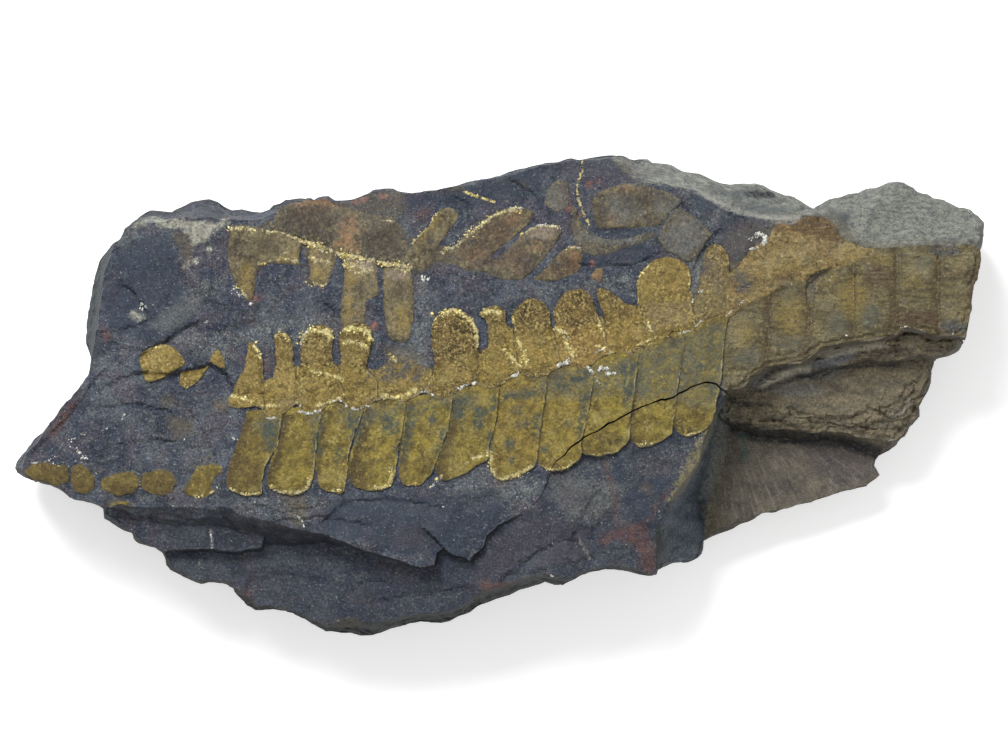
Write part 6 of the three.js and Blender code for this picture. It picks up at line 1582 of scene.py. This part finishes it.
def makeShale():
    look = shaleLook
    material, tree, shader = newMaterial("dark shale", 0.6, 0.3)
    where = places(tree)
    tint, relief = slate(where)
    sand = noise(where, 0.8, 6, 0.8)
    low = times(ragged("lower", where, 2, 0.4, 0.5), 0.45)
    tint = blend(low, tint, look["low"])
    # walls and ledges, in thin layers
    layers = noise(places(tree, (0.05, 0.05, 1.6)), 1, 5, 0.7)
    side = blend(between(layers, 0.35, 0.65), look["side"], slateLook["deep"])
    side = blend(between(noise(where, 7, 5, 0.62), 0.47, 0.6), side, look["sideRust"])
    tint = blend(between(marked(tree, "depth"), 12, 16), tint, side)
    tint = blend(times(ragged("wall", where, 1, 0.6, 0.4), 0.8), tint, look["wall"])
    tint = blend(times(ragged("slope", where, 1.6, 1.6, 0.8), 0.4), tint, look["slope"])
    lip = times(ragged("slopeLip", where, 0.9, 1.8, 0.7), between(sand, 0.42, 0.56, 0.15, 0.85))
    tint = blend(lip, tint, look["slopeLip"])
    streaks = noise(places(tree, (0.5, 1.2, 1.5)), 1.8, 5, 0.68)
    ledge = blend(between(streaks, 0.28, 0.66), look["ledgeDark"], look["ledge"])
    # paler patches on the ledge, also painted light in its hollow
    ledge = blend(times(ragged("ledgeDustAndLight", where, 1.4, 1.2, 0.8), 0.7), ledge, look["ledgeDustAndLight"])
    ledge = darken(ledge, between(noise(where, 0.6, 5, 0.8), 0.36, 0.64, 0.7, 1.3))
    tint = blend(ragged("brown", where, 2, 0.6, 0.5), tint, ledge)
    around, out = marked(tree, "fan"), times(marked(tree, "far"), 0.1)
    strokes = noise(addNode(tree, "ShaderNodeCombineXYZ", {0: around, 1: out}).outputs[0], 0.55, 3, 0.6)
    foot = blend(between(noise(where, 3, 6, 0.75), 0.3, 0.64), look["footDark"], look["foot"])
    foot = blend(between(strokes, 0.56, 0.68, 0, 0.5), foot, look["scratch"])
    foot = darken(foot, between(strokes, 0.3, 0.55, 0.8, 1.06))
    tint = blend(ragged("footFace", where, 2, 0.5, 0.5), tint, foot)
    scratched = noise(places(tree, (0.7, 1.3, 1), 20), 0.9, 7, 0.85)
    coarse = blend(between(scratched, 0.38, 0.62), look["bevelDark"], look["bevelPale"])
    coarse = blend(between(marked(tree, "greenish"), -0.5, 1.5), coarse, look["green"])
    coarse = blend(times(ragged("shade", where, 1.4, 1.2, 0.8), 0.7), coarse, look["shade"])
    tint = blend(ragged("bevel", where, 1.2, 0.35, 0.2), tint, coarse)
    for name, size, amount, soft, most in shaleMarks:
        share = times(ragged(name, where, size, amount, soft), most)
        share = times(share, between(sand, 0.38, 0.58, 0.3, 1))
        tint = blend(share, tint, look[name])
    tint = blend(times(ragged("vein", where, 0.8, 0.6, 0.14, -0.1), 0.8), tint, look["vein"])
    specks = noise(where, 0.45, 2, 0.85)
    tint = blend(between(specks, 0.61, 0.72, 0, 0.4), tint, slateLook["speck"])
    tint = blend(between(specks, 0.38, 0.28, 0, 0.6), tint, slateLook["pitAndShadow"])
    # dark hairline cracks, and painted shadow lines at the foot of small steps
    crackAndShadow = plus(marked(tree, "crackAndShadow"), times(noise(where, 1.3, 3, 0.6), 0.5, -0.2))
    tint = blend(between(crackAndShadow, 0.2, 0.06, 0, 0.75), tint, look["crackAndShadow"])
    fine = noise(where, 0.34, 3, 0.8)
    tint = darken(tint, between(fine, 0.3, 0.7, 0.72, 1.28))
    # the sloping end has a coarser grain of its own
    speckled = noise(where, 0.7, 5, 0.88)
    onSlope = between(marked(tree, "slope"), -0.4, 0.6)
    tint = blend(times(onSlope, between(speckled, 0.47, 0.38, 0, 0.7)), tint, look["shadowAndSpeck"])
    tint = blend(times(onSlope, between(speckled, 0.53, 0.63, 0, 0.6)), tint, look["hazeAndLight"])
    # painted shade: steep faces darkened, most of all those facing the front
    tint = darken(tint, between(marked(tree, "steepShade"), 0, 0.8, 1, 0.65))
    # thin strata along the outer walls
    strata = noise(places(tree, (0.07, 0.07, 2.6)), 1, 4, 0.7)
    tint = darken(tint, times(between(strata, 0.38, 0.62, -0.35, 0.35), marked(tree, "outer"), 1.0))
    relief = plus(relief, times(layers, 0.2))
    relief = plus(relief, times(strata, marked(tree, "outer")))
    rough = sums("MAXIMUM", marked(tree, "steepShade"), between(marked(tree, "bevel"), -0.2, 0.4, 0, 0.5))
    relief = plus(relief, times(rough, noise(where, 1.5, 7, 0.78)))
    finishSurface(shader, tint, relief, 1.0)
    return material


def makeFilm(name, look):
    material, tree, shader = newMaterial(name, look.get("roughness", 0.58), 0.3)
    where = places(tree)
    stone = slate(where)[0]
    grain = places(tree, look.get("stretch", (1, 1, 1)), look.get("turn", 0))
    streaks = noise(grain, look.get("streakSize", 1.4), 5, 0.66)
    grit, mottle = noise(where, 0.42, 3, 0.72), noise(where, look.get("mottleSize", 2.4), 5, 0.66, 0.3)
    tint = blend(between(streaks, 0.36, 0.64), look["deep"], look["mid"])
    tint = blend(between(noise(where, 3.6, 4, 0.62), 0.48, 0.66, 0, 0.6), tint, look["pale"])
    if "broad" in look:
        over = times(between(marked(tree, "above"), -0.3, 0.5), between(mottle, 0.36, 0.6, 0.25, 0.95))
        tint = blend(over, tint, look["broad"])
        # painted shade between the crumbs and painted highlight on them
        crumbs = noise(where, 0.9, 6, 0.8)
        above = between(marked(tree, "above"), -0.2, 0.4, 0.3, 1)
        tint = blend(times(between(crumbs, 0.48, 0.36, 0, 0.9), above), tint, look["brown"])
        tint = blend(times(between(crumbs, 0.54, 0.64, 0, 0.7), above), tint, look["rim"])
    if "across" in look:
        # the brown side: painted shade down the left of each lower leaflet, under its neighbour; towards each
        # right seam of the right frond it is that film's own colour
        left = plus(marked(tree, "across"), times(mottle, 0.7, -0.35))
        tint = blend(between(left, 0.36, 0.08, 0, look["across"]), tint, look["brown"])
        end = plus(marked(tree, "along"), times(mottle, 0.3, -0.15))
        tint = blend(between(end, 0.86, 1, 0, look.get("endShare", 0)), tint, look["brown"])
    tone = marked(tree, "tone")
    tint = blend(times(between(tone, 0, 1), between(mottle, 0.35, 0.6, 0.3, 0.9)), tint, look["warm"])
    tint = blend(times(between(tone, 0, -1), between(mottle, 0.35, 0.6, 0.4, 0.9)), tint, look["cool"])
    if "tips" in look:
        # granular above, towards the tips of the leaflets; smoother and yellower on the sheet they rise from
        far = plus(marked(tree, "sheet"), times(mottle, 3, -1.5))
        rough = times(between(far, 1.6, -0.6), marked(tree, "coarse"))
        dark = blend(between(mottle, 0.4, 0.6), look["tipDeep"], look["tips"])
        tint = blend(times(rough, 0.85), tint, dark)
        # painted shade in the wrinkles' creases, and painted highlight along their crests
        ridge = sums("ABSOLUTE", sums("SUBTRACT", noise(where, 1.5, 3, 0.6, 0.8), 0.5), 0)
        wrinkle = times(between(ridge, 0.035, 0.005), rough)
        tint = blend(times(wrinkle, 0.6), tint, look["pitAndShadow"])
        crest = sums("ABSOLUTE", sums("SUBTRACT", noise(where, 1.1, 3, 0.6, 1.1), 0.5), 0)
        crest = times(between(crest, 0.03, 0.004), times(rough, 0.4, 0.25))
        tint = blend(crest, tint, look["gold"])
        # painted shade between the crumbs and painted highlight on them
        crumbs = noise(where, 0.62, 5, 0.8)
        tint = blend(times(between(crumbs, 0.42, 0.34), times(rough, 0.65, 0.25)), tint, look["pitAndShadow"])
        tint = blend(between(crumbs, 0.57, 0.66, 0, 0.75), tint, look["gold"])
    if "crumbs" in look:
        dark, bright = look["crumbs"]
        # painted shade between the crumbs and painted highlight on them
        crumbs = noise(where, 0.8, 5, 0.78)
        tint = blend(between(crumbs, 0.45, 0.35, 0, dark), tint, look["pitAndShadow"])
        tint = blend(between(crumbs, 0.55, 0.66, 0, bright), tint, look["gold"])
    # single grains, brighter and darker than the rest: grain tones, with the brightest as painted glints
    own = grainColour(where, look.get("grainSize", 0.4))
    share = addNode(tree, "ShaderNodeSeparateColor", {0: own}).outputs[0]
    patchy = between(noise(where, 3.1, 3, 0.55), 0.42, 0.6, 0.25, 1)
    tint = blend(times(between(share, 0.78, 0.9, 0, look["glitter"]), patchy), tint, look["gold"])
    tint = blend(times(between(share, 0.28, 0.14, 0, look["glitter"]), patchy), tint, look["pitAndShadow"])
    for mark, size, amount, soft, most, tinted in look["marks"]:
        there = times(ragged(mark, where, size, amount, soft), most)
        broken = between(noise(grain, 0.8, 5, 0.75), 0.4, 0.56, 0.2, 1)
        tint = blend(times(there, broken), tint, look.get(tinted, stone))
    start, most = look["bareFrom"], look.get("bareShare", 0.7)
    tint = blend(between(noise(where, 2, 5, 0.7), start, start + 0.1, 0, most), tint, stone)
    if "gold" in look["rims"]:
        clots = plus(marked(tree, "gold"), times(noise(where, 0.9, 5, 0.8), 3, -2.05))
        tint = blend(between(clots, 0.1, 0.5, 0, 0.85), tint, look["rim"])
    if "rim" in look["rims"]:
        rim = plus(marked(tree, "rim"), times(noise(where, 0.9, 4, 0.7), 1.6, -0.6))
        tint = blend(between(rim, 0.36, 0.14, 0, 0.75), tint, look["lip"])
    if "seam" in look["rims"]:
        # the seam between leaflets: a painted highlight on the raised lip on its left side, a painted shadow
        # in the gap on its right
        wavy = plus(marked(tree, "seam"), times(noise(where, 1, 5, 0.75), 0.8, -0.4))
        broken = between(noise(where, 1.3, 5, 0.75), 0.44, 0.56)
        lip = times(between(wavy, 0.34, 0.18), between(wavy, -0.04, 0.08))
        tint = blend(times(times(lip, broken), look["lipHighlightShare"]), tint, look["lip"])
        gap = times(between(wavy, 0.02, -0.08), between(wavy, -0.4, -0.16))
        parted = times(between(noise(where, 2.1, 4, 0.7), 0.4, 0.56, 0.25, 1), look["gapShadowShare"])
        tint = blend(times(gap, parted), tint, look["pitAndShadow"])
    edge = plus(marked(tree, "inset"), times(noise(where, 1, 5, 0.7), 1.4, -0.7))
    tint = blend(between(edge, look["edgeWidth"], -0.25, 0, look["edgeShare"]), tint, stone)
    tint = blend(between(marked(tree, "sunk"), 0.02, 0.3), tint, stone)
    tint = darken(tint, between(grit, 0.3, 0.7, 0.72, 1.28))
    # painted shade: steep faces darkened, most of all those facing the front
    tint = darken(tint, between(marked(tree, "steepShade"), 0, 0.8, 1, 0.5))
    relief = times(noise(where, 0.6, 5, 0.72), 0.3, 0)
    relief = plus(relief, times(streaks, look.get("streakRise", 0.15)))
    if "tips" in look:
        relief = plus(relief, times(crumbs, 0.15))
    finishSurface(shader, tint, relief, look.get("bump", 1.0))
    return material


lowerLook = {
    "deep": (97, 85, 42), "mid": (142, 126, 56), "pale": (154, 141, 82), "warm": (132, 107, 58),
    "cool": (94, 80, 46), "brown": (66, 54, 34), "gold": (172, 155, 98), "pitAndShadow": (34, 31, 24),
    "lip": (168, 159, 118), "rim": (204, 192, 142), "green": (64, 74, 70), "grey": (86, 89, 79),
    "burnt": (76, 63, 36), "glitter": 0.35, "across": 0.85, "endShare": 0.5, "stretch": (0.8, 0.75, 1),
    "turn": 25, "bareFrom": 0.66, "rims": ("gold", "seam"), "lipHighlightShare": 0.6, "gapShadowShare": 0.7,
    "edgeWidth": 0.22, "edgeShare": 0.8, "bump": 1.4,
    "marks": [("grey", 2, 1.6, 1.2, 0.75, "grey"), ("burnt", 1.4, 1.6, 1.2, 0.75, "burnt"),
              ("stain", 0.7, 1.9, 0.5, 0.9, "green")],
}
rightLook = {
    "across": 0.75, "brown": (72, 58, 37), "broad": (142, 121, 76), "deep": (84, 77, 56),
    "mid": (112, 102, 72), "pale": (124, 119, 95), "warm": (134, 104, 50), "cool": (94, 90, 84),
    "gold": (150, 136, 96), "pitAndShadow": (50, 45, 38), "lip": (156, 146, 118), "rim": (186, 170, 124),
    "yellow": (140, 122, 62), "dark": (80, 62, 48), "light": (156, 145, 108), "grey": (88, 92, 86),
    "glitter": 0.4, "stretch": (0.35, 1.5, 1), "streakSize": 1.1, "bareFrom": 0.62, "bareShare": 0.5,
    "rims": ("seam",), "lipHighlightShare": 0.3, "gapShadowShare": 0.35, "edgeWidth": 0.15, "edgeShare": 0.7,
    "streakRise": 0.35, "bump": 1.4,
    "marks": [("yellow", 1.5, 2, 1.4, 0.6, "yellow"), ("dark", 1.2, 1.8, 1, 0.85, "dark"),
              ("light", 1.3, 2, 1.2, 0.35, "light"), ("grey", 1.4, 1.8, 1.2, 0.6, "grey"),
              ("stain", 0.9, 0.7, 0.4, 0.9, None)],
}
upperLook = {
    "deep": (108, 93, 52), "mid": (150, 128, 64), "pale": (164, 145, 92), "warm": (148, 116, 68),
    "cool": (110, 102, 80), "tips": (120, 99, 58), "tipDeep": (62, 50, 32), "gold": (204, 184, 118),
    "pitAndShadow": (38, 31, 24), "lip": (186, 176, 140), "rim": (228, 216, 156), "pink": (128, 116, 96),
    "light": (160, 140, 84), "glitter": 0.5, "grainSize": 0.36, "bareFrom": 0.66,
    "rims": ("gold", "rim", "seam"), "edgeWidth": 0.2, "edgeShare": 0.8, "lipHighlightShare": 0.45, "gapShadowShare": 0.6,
    "bump": 1.9,
    "marks": [("light", 1.6, 1.6, 1.2, 0.4, "light"), ("worn", 1, 1.3, 0.6, 0.85, None),
              ("pink", 1.1, 1, 0.8, 0.5, "pink")],
}
secondLook = {
    "deep": (74, 68, 56), "mid": (122, 111, 84), "pale": (140, 130, 104), "warm": (140, 110, 80),
    "cool": (90, 87, 82), "gold": (160, 148, 108), "pitAndShadow": (42, 39, 36), "lip": (176, 163, 122),
    "rim": (212, 200, 158), "orange": (164, 126, 92), "yellow": (144, 125, 72), "glitter": 0.45,
    "crumbs": (0.5, 0.35), "stretch": (1.1, 0.7, 1), "turn": -35, "streakSize": 1.1, "bareFrom": 0.58,
    "bareShare": 0.6, "rims": ("gold",), "dark": (66, 58, 52), "pinkish": (158, 142, 132),
    "edgeWidth": 0.35, "edgeShare": 0.85, "mottleSize": 1.5, "bump": 1.9, "light": (150, 138, 104),
    "rusty": (98, 78, 66), "grey": (112, 116, 116),
    "marks": [("light", 1.2, 1.9, 0.9, 0.55, "light"), ("rusty", 1.2, 1.8, 0.9, 0.65, "rusty"),
              ("grey", 1.2, 1.7, 1, 0.6, "grey"), ("yellow", 1.2, 1.8, 0.9, 0.8, "yellow"),
              ("orange", 0.9, 2.4, 1.2, 0.6, "orange"), ("dark", 1.2, 1.7, 1, 0.7, "dark"),
              ("pinkish", 1, 1.2, 0.6, 0.7, "pinkish")],
}


def makeMineral(name, dark, pale, size, roughness):
    material, tree, shader = newMaterial(name, roughness, 0.5)
    where = places(tree)
    tint = blend(between(noise(where, size, 3, 0.6), 0.38, 0.62), dark, pale)
    finishSurface(shader, tint, noise(where, 0.1, 2), 0.02)
    return material


def dress(thing, material, angle=38):
    thing.data.materials.clear()
    thing.data.materials.append(material)
    thing.data.shade_smooth()
    thing.data.set_sharp_from_angle(angle=math.radians(angle))
    thing.data.transform(Matrix.Scale(metre, 4))
    thing.data.update()


limonite = makeMineral("limonite", (150, 130, 66), (240, 228, 156), 0.6, 0.45)
calcite = makeMineral("calcite", (146, 148, 144), (216, 215, 206), 0.8, 0.4)
draw = np.random.default_rng(7)
solids = [slab] + fronds
goldSpots = np.concatenate([
    scatterAlong([(width, 1, line) for width, line in lines], grainSizes[kind], draw)
    for kind, lines in (("upper", upperGold), ("lower", secondGold), ("lower", lowerGold))
])
calciteSpots = np.concatenate([scatterAlong(calciteLines, grainSizes["flecks"], draw)] + [
    np.column_stack([(x, y) + draw.normal(0, 0.5 * reach, (count, 2)), size * draw.uniform(0.6, 1.3, count)])
    for x, y, reach, size, count in clusters
])
grains = makeCrystals("limonite_grains", goldSpots, solids, limonite,
                      {"Radius": grainSizes["radius"], "Spread": grainSizes["spread"], "Seed": 3})
flecks = makeCrystals("calcite_flecks", calciteSpots, solids, calcite,
                      {"Radius": grainSizes["fleckRadius"], "Spread": grainSizes["fleckSpread"], "Seed": 5})
dress(slab, makeShale(), 27)
dress(lowerFrond, makeFilm("mustard film", lowerLook))
dress(rightFrond, makeFilm("olive film", rightLook))
dress(upperFrond, makeFilm("granular film", upperLook), 60)
dress(secondFrond, makeFilm("brown film", secondLook))
dress(grains, limonite, 20)
dress(flecks, calcite, 20)
for piece in [slab] + fronds + [grains, flecks]:
    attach(piece, "root")
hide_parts("fossil_slab")
print("finishes made,", len(grains.data.polygons) + len(flecks.data.polygons), "crystal faces")


# floor, light and camera

studio = {"floor": 1.6, "glow": 0.4, "keyPower": 9, "keySize": 0.38, "fillPower": 1.2, "fillSize": 0.6,
          "world": 0.45, "lens": 300, "sensor": 36.0, "wide": 0.1885}


def makeStage():
    size = studio["floor"]
    corners = [(-size, -size, 0), (size, -size, 0), (size, size, 0), (-size, size, 0)]
    floor = makeObject("floor", corners, [(0, 1, 2, 3)])
    material, tree, shader = newMaterial("pale floor", 0.8, 0.2)
    shader.inputs["Base Color"].default_value = colour(246, 246, 246)
    shader.inputs["Emission Color"].default_value = (1, 1, 1, 1)
    shader.inputs["Emission Strength"].default_value = studio["glow"]
    floor.data.materials.append(material)
    world = bpy.data.worlds.new("studio")
    bpy.context.scene.world = world
    world.use_nodes = True
    world.node_tree.nodes["Background"].inputs["Color"].default_value = (1, 1, 1, 1)
    world.node_tree.nodes["Background"].inputs["Strength"].default_value = studio["world"]
    for name, place, power, width in (("key", (-0.26, 0.54, 0.68), studio["keyPower"], studio["keySize"]),
                                      ("fill", (0.25, -0.5, 0.6), studio["fillPower"], studio["fillSize"])):
        lamp = bpy.data.lights.new(name, "AREA")
        lamp.energy, lamp.size = power, width
        light = bpy.data.objects.new(name, lamp)
        light.location = place
        light.rotation_mode = "QUATERNION"
        light.rotation_quaternion = (Vector((0, 0, 0.015)) - Vector(place)).to_track_quat("-Z", "Y")
        bpy.context.scene.collection.objects.link(light)
    bpy.context.scene.view_settings.view_transform = "Standard"


def makeCamera():
    # straight down on the face, as far off as a long lens needs to take in 188.5 mm by 141.4 mm
    lens, sensor, wide = studio["lens"], studio["sensor"], studio["wide"]
    data = bpy.data.cameras.new("camera")
    data.lens, data.sensor_width = lens, sensor
    camera = bpy.data.objects.new("camera", data)
    camera.location = (0.000935, 0.0032725, 0.018 + wide * lens / sensor)
    bpy.context.scene.collection.objects.link(camera)
    bpy.context.scene.camera = camera


makeStage()
makeCamera()
print("scene ready")
